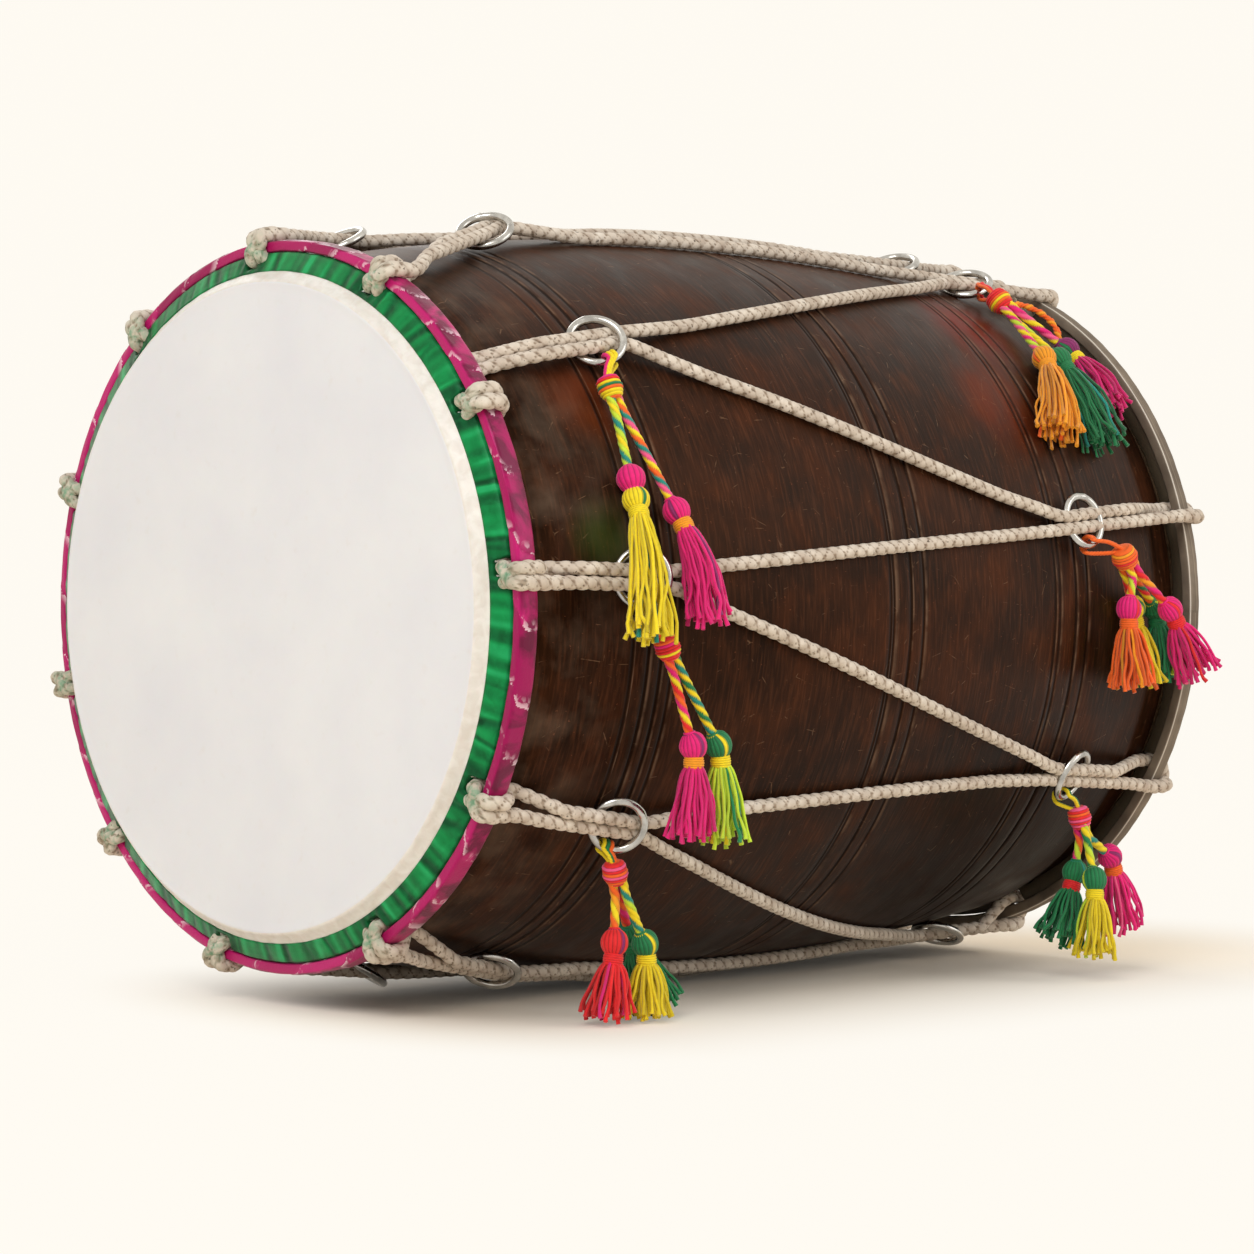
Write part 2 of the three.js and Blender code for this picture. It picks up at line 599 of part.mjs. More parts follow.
// Point at a distance along a line of points
function pointAlong(points, distance) {
  let left = distance;
  for (let i = 1; i < points.length; i += 1) {
    const step = points[i].distanceTo(points[i - 1]);
    if (left <= step || i === points.length - 1) return points[i - 1].clone().lerp(points[i], left / step);
    left -= step;
  }
  return points.at(-1).clone();
}

// Tie: a loop round the ring's wire and a strap that ends in a wrapped knot
function makeTie(bunch, wire, lean) {
  const centre = beside(wire, bunch.wrap);
  const heads = bunch.tassels.map((tassel) => beside(wire, tassel.head));
  const mean = heads.reduce((sum, head) => sum.add(head), new THREE.Vector3()).divideScalar(heads.length);
  const axis = mean.sub(centre).normalize();
  const loopRadius = WIRE_RADIUS + LOOP_CLEARANCE + LOOP_WIRE_RADIUS;
  const down = centre.clone().sub(wire);
  down.addScaledVector(lean, -down.dot(lean)).normalize();
  const loop = new THREE.TorusGeometry(loopRadius, LOOP_WIRE_RADIUS, 5, 10);
  loop.applyMatrix4(new THREE.Matrix4().makeBasis(down, lean.clone().cross(down), lean).setPosition(wire));
  const knot = [-1, -0.55, 0.45, 1].map((share) => centre.clone()
    .addScaledVector(axis, share * WRAP_HALF_LENGTH));
  const knotRadii = [0.6, 1, 1, 0.85].map((share) => share * WRAP_RADIUS);
  const strap = [wire.clone().addScaledVector(down, loopRadius), ...knot];
  const body = tube(strap, [LOOP_WIRE_RADIUS, ...knotRadii], TASSEL_SIDES);
  const mesh = add(`tie_${bunch.name}`, fromManifold(toManifold(loop).add(toManifold(body))), bunch.finish);
  const hinge = lean.clone();
  if (hinge.x > 0) hinge.negate();
  mesh.userData.hinge = { pos: wire.toArray(), axis: hinge.toArray(), swing: bunch.swing };
  return { axis, end: knot.at(-1) };
}

// Tassel: cord, ball head, bound neck and a fringe that widens to its tip
function makeTassel(bunch, tassel, wire, tie) {
  const count = bunch.tassels.length;
  const seatRadius = (CORD_RADIUS + GAP) / Math.sin(Math.PI / count);
  const across = new THREE.Vector3(1, 0, 0).addScaledVector(tie.axis, -tie.axis.x).normalize();
  const outward = tie.axis.clone().cross(across);
  if (outward.y > 0) outward.negate();
  const turn = THREE.MathUtils.degToRad(tassel.seat);
  const start = tie.end.clone().addScaledVector(tie.axis, 2 * GAP)
    .addScaledVector(across, seatRadius * Math.cos(turn))
    .addScaledVector(outward, seatRadius * Math.sin(turn));
  const head = beside(wire, tassel.head);
  const bends = tassel.bend ? [beside(wire, tassel.bend)] : [];
  const lead = start.clone().addScaledVector(tie.axis, CORD_LEAD);
  const route = [start, lead, head, ...bends, beside(wire, tassel.tip)];
  const cord = CORD_LEAD + lead.distanceTo(head);
  const total = route.slice(1).reduce((sum, p, i) => sum + p.distanceTo(route[i]), 0);
  const knob = KNOB_RADIUS;
  const stations = [
    [0, CORD_RADIUS],
    [CORD_LEAD, CORD_RADIUS],
    [cord - knob, CORD_RADIUS + GAP],
    [cord - 0.75 * knob, 0.72 * knob],
    [cord, knob],
    [cord + 0.65 * knob, 0.85 * knob],
    [cord + 1.05 * knob, NECK_RADIUS],
    [cord + 1.6 * knob, 1.15 * NECK_RADIUS],
    [lerp(cord + knob, total, 0.55), 0.88 * FRINGE_RADIUS],
    [total, FRINGE_RADIUS],
  ];
  const body = tube(
    stations.map(([distance]) => pointAlong(route, distance)),
    stations.map(([, radius]) => radius),
    TASSEL_SIDES,
  );
  add(`tassel_${bunch.name}_${tassel.name}`, body, tassel.name);
}

function makeBunch(bunch, stem, lean) {
  const wire = stem.centre.clone().addScaledVector(stem.round, -RING_RADIUS);
  const tie = makeTie(bunch, wire, lean);
  for (const tassel of bunch.tassels) makeTassel(bunch, tassel, wire, tie);
}

function makeEnds() {
  makeHead(treble, 'treble', 'white_skin', trebleRings);
  makeHead(bass, 'bass', 'goat_skin', bassRings);
  makeClothBand();
  makeHoop(treble, 'treble', 'magenta_ribbon');
  makeHoop(bass, 'bass', 'bare_wood');
  makePaste();
}

const tieFinish = {
  upper_treble: 'yellow', middle_treble: 'red', lower_treble: 'red',
  upper_bass: 'red', middle_bass: 'orange', lower_bass: 'red',
};
for (const bunch of bunches) bunch.finish = tieFinish[bunch.name];

makeShell();
makeEnds();

// The rope goes by turns from a treble ring to the next bass ring round the drum
const trebleStems = trebleRings.map((ring) => stemOf(treble, ring));
const bassStems = bassRings.map((ring) => stemOf(bass, ring));
const floor = makeRope(trebleStems.flatMap((stem, i) => [stem, bassStems[i]]));

for (const [name, stems] of Object.entries({ treble: trebleStems, bass: bassStems })) {
  stems.forEach((stem, i) => {
    const lean = makeRing(stem, `${name}_ring_${String(i + 1).padStart(2, '0')}`);
    for (const bunch of bunches) {
      if (bunch.rings[bunch.ring] === stem.ring) makeBunch(bunch, stem, lean);
    }
  });
}

// Stand the drum on the flat of its rope, the origin under its middle
drum.position.set(-LENGTH / 2, 0, -floor);

export default drum;
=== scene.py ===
# %% [markdown]
# # A dhol, dressed
# A dhol is a two-headed barrel drum. One long cotton rope zigzags between two hoops and pulls both heads
# tight. Steel rings hold the rope's strands together in pairs: sliding a ring tunes the drum. Bunches of
# tassels hang from some of the rings. This lesson dresses the plain solids of the CAD model with the
# shapes and finishes that the eye sees. All sizes below are in millimetres, and become metres only where
# a mesh is made.

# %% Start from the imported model
import math

import bpy
import numpy as np
from mathutils import Matrix, Vector


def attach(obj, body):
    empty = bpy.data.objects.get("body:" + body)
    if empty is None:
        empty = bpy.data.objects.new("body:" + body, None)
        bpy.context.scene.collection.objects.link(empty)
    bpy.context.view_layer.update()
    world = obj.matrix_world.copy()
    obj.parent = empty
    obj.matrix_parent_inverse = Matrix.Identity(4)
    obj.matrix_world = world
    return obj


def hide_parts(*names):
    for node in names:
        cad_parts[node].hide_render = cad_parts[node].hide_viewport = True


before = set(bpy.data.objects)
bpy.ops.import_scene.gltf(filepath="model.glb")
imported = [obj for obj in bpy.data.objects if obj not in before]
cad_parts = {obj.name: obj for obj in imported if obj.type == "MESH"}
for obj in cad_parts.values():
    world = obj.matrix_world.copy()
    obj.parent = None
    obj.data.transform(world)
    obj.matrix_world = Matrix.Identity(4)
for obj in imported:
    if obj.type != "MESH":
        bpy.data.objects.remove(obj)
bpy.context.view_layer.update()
scene = bpy.context.scene
scene.view_settings.view_transform = "Standard"
MM = 0.001

# %% [markdown]
# ## The camera
# The photograph was taken with a long lens, a little above the middle of the drum and from the treble
# side. The camera's place, turn and lens were worked out from the ellipses of the hoops, so each piece
# lands where the photograph shows it. A matrix made of the three directions right, up and back places
# the camera exactly.

# %% Camera
CAMERA_PLACE = Vector((-1.6902, -1.7762, 0.2720))
CAMERA_AZIMUTH, CAMERA_ELEVATION, CAMERA_ROLL = (math.radians(v) for v in (-43.463, 1.47, 0.671))
CAMERA_LENS = 116.98

back = Vector((
    math.sin(CAMERA_AZIMUTH) * math.cos(CAMERA_ELEVATION),
    -math.cos(CAMERA_AZIMUTH) * math.cos(CAMERA_ELEVATION),
    math.sin(CAMERA_ELEVATION),
))
level = Vector((math.cos(CAMERA_AZIMUTH), math.sin(CAMERA_AZIMUTH), 0))
upright = back.cross(level)
right = level * math.cos(CAMERA_ROLL) + upright * math.sin(CAMERA_ROLL)
up = upright * math.cos(CAMERA_ROLL) - level * math.sin(CAMERA_ROLL)
camera = bpy.data.objects.new("camera", bpy.data.cameras.new("camera"))
camera.data.lens = CAMERA_LENS
camera.data.sensor_width = 36
camera.matrix_world = Matrix.Translation(CAMERA_PLACE) @ Matrix((right, up, back)).transposed().to_4x4()
scene.collection.objects.link(camera)
scene.camera = camera
print("camera is", round((CAMERA_PLACE - Vector((0, 0, 0.22))).length, 2), "m from the drum's middle")

# %% [markdown]
# ## Where things are
# The CAD model places everything by a station along the drum's axis, a distance from the axis and an
# angle round it. The same numbers are repeated here, so that a dressed piece lies where its solid is.
# Working with arrays of numbers places many points at once.

# %% Sizes of the drum and its ends
LENGTH = 553.0            # from hoop face to hoop face
AXIS_HEIGHT = 222.469     # of the drum's axis above the floor
BELLY_RADIUS = 217.0
ROPE_RADIUS = 3.5
GAP = 0.3
HEAD_RISE = 11.0


def make_end(face, inward, hoop_radius, thickness, width, stand):
    """Sizes of one end of the drum, worked out from its hoop as in the CAD model."""
    bore = hoop_radius - thickness
    ceiling = bore * math.cos(math.pi / 48)
    floor = ceiling - 2 * ROPE_RADIUS - 3 * GAP
    wrap = floor - 1.4
    return {
        "face": face, "inward": inward, "hoop": hoop_radius, "thickness": thickness, "width": width,
        "bore": bore, "ceiling": ceiling, "floor": floor, "neck": floor - GAP, "wrap": wrap,
        "rim": bore - 0.4, "crease": floor - 8.9, "bearing": wrap - GAP - 4.1 - GAP,
        "drop": BELLY_RADIUS - (hoop_radius - stand),
    }


TREBLE = make_end(0.0, 1, 204.0, 7.0, 13.5, 14.0)
BASS = make_end(LENGTH, -1, 210.0, 7.5, 9.3, 13.3)
print("barrel is", BELLY_RADIUS - TREBLE["drop"], "and", BELLY_RADIUS - BASS["drop"], "mm at its ends")


# %% Places round the drum
def barrel_radius(station):
    """Outside of the barrel: a parabola each way from the belly."""
    share = (np.asarray(station, float) - LENGTH / 2) / (LENGTH / 2)
    return BELLY_RADIUS - np.where(share < 0, TREBLE["drop"], BASS["drop"]) * share**2


def place(station, radius, angle):
    """Point from a station, a distance from the axis and an angle, which is 0 at the front."""
    turn = np.radians(angle)
    x, y, z = np.broadcast_arrays(
        np.asarray(station, float) - LENGTH / 2,
        -radius * np.cos(turn),
        AXIS_HEIGHT + radius * np.sin(turn),
    )
    return np.stack([x, y, z], -1)


def unit(v):
    return v / np.linalg.norm(v, axis=-1, keepdims=True)


def direction(angle):
    """Outward from the axis at an angle."""
    return place(LENGTH / 2, 1.0, angle) - np.array([0, 0, AXIS_HEIGHT])


def angle_of(point):
    return math.degrees(math.atan2(point[2] - AXIS_HEIGHT, -point[1]))


def height_over_barrel(point):
    """Radius beyond the barrel's surface of points in space."""
    return np.hypot(point[..., 1], point[..., 2] - AXIS_HEIGHT) - barrel_radius(point[..., 0] + LENGTH / 2)


# %% Rings and bunches of tassels
RING_LIFT = 8.8
RING_RADIUS = 14.7
WIRE_RADIUS = 2.3
RING_TILT = 25.5          # degrees: outwards towards the belly at the treble end, inwards at the bass end
BASS_LEANS = {2: 12.0, 3: -4.0}    # two bass rings lean otherwise, so that their bunches can swing past them
BEND_LENGTH = 28.0        # of a strand's end, where it bends towards its hoop

# Station as a share of the length, angle of the ring, angle of the hitch, and where the strands point
# on the hoop, if that isn't the hitch
TREBLE_RINGS = [
    (0.172, -99.5, -103.3), (0.181, -70.5, -62.6), (0.168, -32.2, -29.1), (0.145, 5.5, 6.2),
    (0.175, 43.6, 34, 40.5), (0.203, 78, 63.8), (0.127, 99, 94.5), (0.168, 131, 128.9),
    (0.175, 162, 161.4), (0.165, 193, 194.3), (0.178, 224, 223.1),
]
BASS_RINGS = [
    (0.886, -95, -97), (0.879, -74.2, -71), (0.821, -26.9, -29.3), (0.794, 14.2, 16.9),
    (0.875, 69, 67.5), (0.875, 86, 90), (0.835, 115.8, 117), (0.845, 145.7, 145),
    (0.83, 175.5, 176), (0.85, 205.3, 205), (0.838, 235.2, 234),
]
# Bows, in degrees, of the leg that arrives at a treble ring and of the one that leaves it
LOWER_BOWS = {4: -2.5}
UPPER_BOWS = {2: 1.9, 4: -3.3}
EXTRA_LIFT = {5: 1.6}


def make_stem(end, ring, extra=0.0, turn=RING_TILT):
    """Where two strands run side by side from a hoop through their ring, which leans by that turn."""
    share, angle, hitch, *aim = ring
    station = share * LENGTH
    centre = place(station, barrel_radius(station) + RING_LIFT + extra, angle)
    middle = end["face"] + end["inward"] * end["width"] / 2
    anchor = place(middle, end["hoop"] + GAP + ROPE_RADIUS, *(aim or [hitch]))
    along = unit(centre - anchor)
    side = direction(angle + 90)
    side = unit(side - along * side.dot(along))
    out = unit(np.cross(along, side))
    if out.dot(direction(angle)) < 0:
        out = -out
    length = np.linalg.norm(centre - anchor) - end["width"] / 2 - BEND_LENGTH
    hinge, lean = (along * math.cos(t) + out * math.sin(t) for t in np.radians([RING_TILT, turn]))
    return {
        "end": end, "hitch": hitch, "aim": (aim or [hitch])[0], "centre": centre, "along": along,
        "side": side, "length": length, "lean": lean, "hinge": hinge, "wire": centre - RING_RADIUS * side,
    }


treble_stems = [make_stem(TREBLE, r, EXTRA_LIFT.get(i, 0.0)) for i, r in enumerate(TREBLE_RINGS)]
bass_stems = [make_stem(BASS, r, turn=BASS_LEANS.get(i, -RING_TILT)) for i, r in enumerate(BASS_RINGS)]
print("rings:", len(treble_stems) + len(bass_stems))

# %% [markdown]
# ## Paths
# A twisted cord, a rope and a fringe all follow a path. Given points are joined by a smooth
# curve, and the curve is divided into even steps, so that twists and windings come out even.


# %% Smooth paths
def smooth_path(points, step, closed=False):
    """Evenly spaced points, in steps of about that size, on a smooth curve through the given ones."""
    p = np.asarray(points, float)
    if closed:
        p = np.concatenate([p[-1:], p, p[:2]])
    else:
        p = np.concatenate([2 * p[:1] - p[1:2], p, 2 * p[-1:] - p[-2:-1]])
    run = []
    for a, b, c, d in zip(p[:-3], p[1:-2], p[2:-1], p[3:]):
        knots = np.cumsum([0, *(np.linalg.norm(w - v) ** 0.5 + 1e-9 for v, w in ((a, b), (b, c), (c, d)))])
        t = np.linspace(knots[1], knots[2], 13)[:-1, None]
        ab, bc, cd = (
            (v * (k1 - t) + w * (t - k0)) / (k1 - k0)
            for v, w, k0, k1 in ((a, b, *knots[0:2]), (b, c, *knots[1:3]), (c, d, *knots[2:4]))
        )
        abc = (ab * (knots[2] - t) + bc * (t - knots[0])) / (knots[2] - knots[0])
        bcd = (bc * (knots[3] - t) + cd * (t - knots[1])) / (knots[3] - knots[1])
        run.append((abc * (knots[2] - t) + bcd * (t - knots[1])) / (knots[2] - knots[1]))
    fine = np.concatenate([*run, p[-2][None]])
    return even_steps(fine, step)


def path_length(points):
    return float(np.linalg.norm(np.diff(points, axis=0), axis=1).sum())


def travelled(points):
    """Distance of each point from the start of its path."""
    return np.concatenate([[0], np.cumsum(np.linalg.norm(np.diff(points, axis=0), axis=1))])


def at_distances(points, far, wanted):
    """Points of a path at the wanted distances, from its points and how far along each of them lies."""
    return np.stack([np.interp(wanted, far, points[:, k]) for k in range(3)], -1)


def even_steps(points, step):
    far = travelled(points)
    count = max(2, round(far[-1] / step)) + 1
    return at_distances(points, far, np.linspace(0, far[-1], count))


def carried_sides(path):
    """Two directions across a path at each of its points, carried along without twist."""
    ahead = unit(np.gradient(path, axis=0))
    start = np.array([0.0, 0.0, 1.0]) if abs(ahead[0][2]) < 0.9 else np.array([1.0, 0.0, 0.0])
    side = unit(np.cross(start, ahead[0]))
    sides = []
    for forward in ahead:
        side = unit(side - forward * side.dot(forward))
        sides.append(side)
    sides = np.array(sides)
    return sides, np.cross(ahead, sides)


# %% [markdown]
# ## Meshes from grids
# Most pieces here are a grid of points: rows along the piece and columns round it. A grid is quick to
# work out with arrays, and it keeps a value, such as a colour, at each of its points. Faces must point
# outwards, so a piece whose volume comes out negative is turned round.


# %% Grids and pieces
def grid(points, wrap_rows=False, wrap_columns=True, caps=True, **values):
    """Part of a mesh from rows and columns of points, with values at the points."""
    rows, columns = points.shape[:2]
    index = np.arange(rows * columns).reshape(rows, columns)
    first, last = index[0].tolist(), index[-1].tolist()
    if wrap_columns:
        index = np.concatenate([index, index[:, :1]], axis=1)
    if wrap_rows:
        index = np.concatenate([index, index[:1]], axis=0)
    corners = (index[:-1, :-1], index[:-1, 1:], index[1:, 1:], index[1:, :-1])
    faces = np.stack(corners, -1).reshape(-1, 4).tolist()
    if caps and not wrap_rows:
        faces += [first[::-1], last]
    flat = points.reshape(-1, 3)
    volume = 0.0
    quads = np.array([f for f in faces if len(f) == 4])
    for i, j, k in ((0, 1, 2), (0, 2, 3)):
        a, b, c = (flat[quads[:, n]] for n in (i, j, k))
        volume += np.einsum("ij,ij->", a, np.cross(b, c))
    if caps and not wrap_rows:
        for ring in (first[::-1], last):
            middle = flat[ring].mean(0)
            a, b = flat[ring], flat[ring[1:] + ring[:1]]
            volume += np.einsum("j,ij->", middle, np.cross(a, b))
    if volume < 0:
        faces = [f[::-1] for f in faces]
    return {"points": flat, "faces": faces, "values": {k: np.asarray(v) for k, v in values.items()}}


def joined(parts):
    """Several parts as one."""
    points, faces, start = [], [], 0
    for part in parts:
        points.append(part["points"])
        faces += [[i + start for i in f] for f in part["faces"]]
        start += len(part["points"])
    names = {name for part in parts for name in part["values"]}
    values = {n: np.concatenate([np.asarray(part["values"][n]) for part in parts]) for n in names}
    return {"points": np.concatenate(points), "faces": faces, "values": values}


def store(mesh, name, value):
    """Keep a number, or a colour of three numbers, at each point of a mesh."""
    value = np.asarray(value, float)
    if value.ndim > 1 and value.shape[-1] == 3:
        colours = np.concatenate([value.reshape(-1, 3), np.ones((value.size // 3, 1))], 1)
        mesh.attributes.new(name, "FLOAT_COLOR", "POINT").data.foreach_set("color", colours.ravel())
    else:
        mesh.attributes.new(name, "FLOAT", "POINT").data.foreach_set("value", value.ravel())


def smooth_faces(mesh):
    mesh.polygons.foreach_set("use_smooth", np.ones(len(mesh.polygons), bool))
    mesh.update()


def make_object(name, part, material=None):
    """Object from a part, in metres, with the part's values at its points."""
    mesh = bpy.data.meshes.new(name)
    mesh.from_pydata((part["points"] * MM).tolist(), [], part["faces"])
    for key, value in part["values"].items():
        store(mesh, key, value)
    smooth_faces(mesh)
    made = bpy.data.objects.new(name, mesh)
    scene.collection.objects.link(made)
    if material:
        mesh.materials.append(material)
    return made


def move_points(mesh, change):
    """Move the points of a mesh by a function of all of them, in millimetres."""
    points = np.zeros(len(mesh.vertices) * 3)
    mesh.vertices.foreach_get("co", points)
    mesh.vertices.foreach_set("co", (change(points.reshape(-1, 3) / MM) * MM).ravel())
    smooth_faces(mesh)


def above(points, height):
    """Points of which none is lower than that height."""
    return np.stack([points[:, 0], points[:, 1], np.maximum(points[:, 2], height)], -1)


# %% [markdown]
# ## Wound and twisted thread
# Cords, wraps and bound heads are all thread that goes round something. Modelling every thread would
# take millions of faces. Instead one surface has a ridge for each thread: the ridges climb as steeply
# as the thread does, from straight along a tassel's head to almost level on a binding. Each ridge can
# have its own colour, as in a cord twisted of four colours.


# %% Colours and wound thread
def linear(hex_colour):
    """Linear red, green and blue from an sRGB hex value."""
    s = np.array([int(hex_colour[i:i + 2], 16) / 255 for i in (1, 3, 5)])
    return np.where(s <= 0.04045, s / 12.92, ((s + 0.055) / 1.055) ** 2.4)


THREADS = {
    "yellow": "#ffe410", "magenta": "#f00c7c", "lime": "#cdea34", "red": "#f01c22", "green": "#0a7d46",
    "amber": "#ffa514", "orange": "#ff6a12", "teal": "#0f8f80", "pink": "#ff5c94", "plum": "#8c1a66",
}


def wound(path, radii, sides, lobes, pitch, depth, colours):
    """Surface of thread wound or twisted along a path. Each of its lobes climbs once round in pitch."""
    side, other = carried_sides(path)
    turn = np.linspace(0, 2 * math.pi, sides, endpoint=False)
    climb = 2 * math.pi * lobes / pitch if pitch else 0.0
    phase = lobes * turn[None, :] + climb * travelled(path)[:, None]
    radius = np.asarray(radii, float).reshape(-1, 1) + depth * (np.abs(np.cos(phase / 2)) - 1)
    points = path[:, None] + radius[..., None] * (
        side[:, None] * np.cos(turn)[None, :, None] + other[:, None] * np.sin(turn)[None, :, None]
    )
    strand = np.floor(phase / (2 * math.pi) + 0.5).astype(int) % len(colours)
    colour = np.array([linear(THREADS[c]) for c in colours])[strand]
    shade = np.broadcast_to(np.abs(np.cos(phase / 2)), radius.shape)
    return grid(points, thread_colour=colour.reshape(-1, 3), ridge=shade.ravel())


print("thread colours:", len(THREADS))

# %% [markdown]
# ## Seventeen short cords
# Each tassel hangs on a short cord, about 5 mm thick, twisted of three or four colours of cotton. It
# comes out of a wrapped knot on a ring, which is its tie, and ends in the tassel's bound head. The cords
# are limp and hang almost straight down, lying against the barrel where it bulges. Their paths come from
# the tables of the CAD model.

# %% Tables of the bunches
CORD_RADIUS = 2.6
KNOB_RADIUS = 7.3
WRAP_HALF_LENGTH = 6.8
CORD_LEAD = 5.0
CORD_PITCH = 20.0         # along a cord, while each of its strands goes once round
SPAN = 100.0

# Ring and wrap, and for each tassel its seat, head, bend and tip. A place is a share of the span along
# the axis, a share of it out from the barrel, and a turn in degrees, all from the ring's wire.
BUNCHES = {
    "upper_treble": (treble_stems[4], (-0.107, 0.099, -5.13), {
        "yellow": (180, (-0.172, 0.1, -23.09), (-0.309, 0.29, -34.7), (-0.372, 0.367, -43)),
        "magenta": (0, (0.078, 0.105, -24.98), (0.103, 0.2, -32.74), (0.128, 0.237, -41.09)),
    }),
    "middle_treble": (treble_stems[3], (0.115, 0.158, -5.94), {
        "magenta": (180, (0.259, 0.294, -18.76), None, (0.253, 0.49, -29.64)),
        "lime": (0, (0.448, 0.273, -18.76), None, (0.495, 0.47, -29.93)),
    }),
    "lower_treble": (treble_stems[2], (0.044, 0.201, -2.26), {
        "red": (180, (0.029, 0.469, -8.85), None, (-0.021, 0.78, -14.75)),
        "yellow": (60, (0.259, 0.455, -9.17), None, (0.279, 0.752, -14.87)),
        "green": (300, (0.309, 0.297, -11.57), None, (0.479, 0.633, -16.43)),
    }),
    "upper_bass": (bass_stems[4], (-0.057, 0.119, -5.64), {
        "amber": (180, (-0.127, 0.088, -20.49), (-0.295, 0.102, -29.17), (-0.467, 0.098, -37.02)),
        "green": (300, (0.026, 0.096, -20.4), (0.008, 0.106, -29.64), (-0.01, 0.106, -38.3)),
        "magenta": (60, (0.222, 0.096, -17.16), (0.225, 0.112, -24.44), (0.212, 0.106, -31.25)),
    }),
    "middle_bass": (bass_stems[3], (0.236, 0.183, -2.17), {
        "orange": (135, (0.246, 0.19, -10.07), None, (0.276, 0.249, -21.76)),
        "yellow": (225, (0.436, 0.085, -10.06), None, (0.526, 0.151, -22.68)),
        "green": (315, (0.646, 0.104, -10.06), None, (0.726, 0.162, -21.69)),
        "magenta": (45, (0.59, 0.265, -10.2), None, (0.8, 0.36, -19.6)),
    }),
    "lower_bass": (bass_stems[2], (0.124, 0.203, -2.35), {
        "green": (240, (0.124, 0.378, -9.4), None, (-0.036, 0.645, -15.98)),
        "yellow": (120, (0.094, 0.533, -7.36), None, (0.084, 0.839, -14.21)),
        "magenta": (0, (0.444, 0.369, -7.8), None, (0.574, 0.681, -15.1)),
    }),
}

# %% [markdown]
# ## One helper for nodes, and the thread itself
# Every material and every Geometry Nodes tree is made of nodes. One small function adds a node with its
# settings and links, so a tree reads from top to bottom. The first finish is the tassels' cotton thread:
# mercerised yarn, soft and dyed in strong colours. It has no gloss but a faint bloom at its edges, and
# painted shade makes it darker between the turns. The colour is an attribute, so one finish serves all
# threads.


# %% Add a node
def socket(sockets, name):
    """Socket of that name that is in use, or the one at that index."""
    if isinstance(name, int):
        return sockets[name]
    return next(s for s in sockets if s.name == name and s.enabled)


def rgba(hex_colour):
    return (*linear(hex_colour), 1.0)


def add_node(tree, kind, inputs=None, stops=(), **settings):
    """Add a node with its settings and links. Stops are a colour ramp's positions and colours or greys."""
    made = tree.nodes.new(kind)
    for name, value in settings.items():
        setattr(made, name, value)
    elements = made.color_ramp.elements if stops else []
    while len(elements) < len(stops):
        elements.new(0.5)
    for element, (position, colour) in zip(elements, stops):
        element.position = position
        element.color = rgba(colour) if isinstance(colour, str) else (colour, colour, colour, 1)
    fill(tree, made, inputs or {})
    return made


def fill(tree, node, inputs):
    """Give a node its inputs: values, hex colours, or nodes and their outputs, which are linked to it."""
    for name, value in inputs.items():
        if isinstance(value, bpy.types.Node):
            value = next(s for s in value.outputs if s.enabled)
        if isinstance(value, bpy.types.NodeSocket):
            tree.links.new(value, socket(node.inputs, name))
        else:
            is_colour = isinstance(value, str) and value.startswith("#")
            socket(node.inputs, name).default_value = rgba(value) if is_colour else value


def new_material(name):
    """Material with a Principled shader, its tree and that shader."""
    material = bpy.data.materials.new(name)
    material.use_nodes = True
    tree = material.node_tree
    return material, tree, tree.nodes["Principled BSDF"]


def blotches(tree, size_mm, detail=3.0, stretch=(1, 1, 1), distortion=0.0):
    """Pattern of blotches of about that size that goes through the whole piece."""
    scaled = add_node(tree, "ShaderNodeMapping", {
        "Vector": add_node(tree, "ShaderNodeTexCoord").outputs["Object"], "Scale": stretch})
    return add_node(tree, "ShaderNodeTexNoise", {
        "Vector": scaled, "Scale": 1 / (size_mm * MM), "Detail": detail, "Distortion": distortion,
    }).outputs["Fac"]


# %% Cotton thread
# Perle cotton, spun and mercerised: strong colour, no gloss, and painted shade where turns meet
cotton_thread, tree, shader = new_material("perle_cotton_thread")
dyed = add_node(tree, "ShaderNodeAttribute", attribute_name="thread_colour").outputs["Color"]
uneven = add_node(tree, "ShaderNodeValToRGB", {"Fac": blotches(tree, 3.0, 4)},
    stops=[(0.3, 0.86), (0.7, 1.0)])
dyed = add_node(tree, "ShaderNodeMix", {0: 1.0, 6: dyed, 7: uneven}, data_type="RGBA",
    blend_type="MULTIPLY")
# Painted shade: the dyed colour is darkened where the ridge value is low, between the turns
hollow = add_node(tree, "ShaderNodeValToRGB", {
    "Fac": add_node(tree, "ShaderNodeAttribute", attribute_name="ridge").outputs["Fac"]},
    stops=[(0.0, 0.38), (0.35, 0.86), (1.0, 1.0)])
dyed = add_node(tree, "ShaderNodeMix", {0: 1.0, 6: dyed, 7: hollow}, data_type="RGBA",
    blend_type="MULTIPLY")
fill(tree, shader, {"Base Color": dyed, "Roughness": 0.72, "Sheen Weight": 0.25, "Sheen Roughness": 0.4})
# Yarn plies are 0.3 mm apart; drawn at 0.7 mm, so that they show
fill(tree, shader, {"Normal": add_node(tree, "ShaderNodeBump", {
    "Height": blotches(tree, 0.7, 2), "Distance": 0.12 * MM})})
print("finish:", cotton_thread.name)


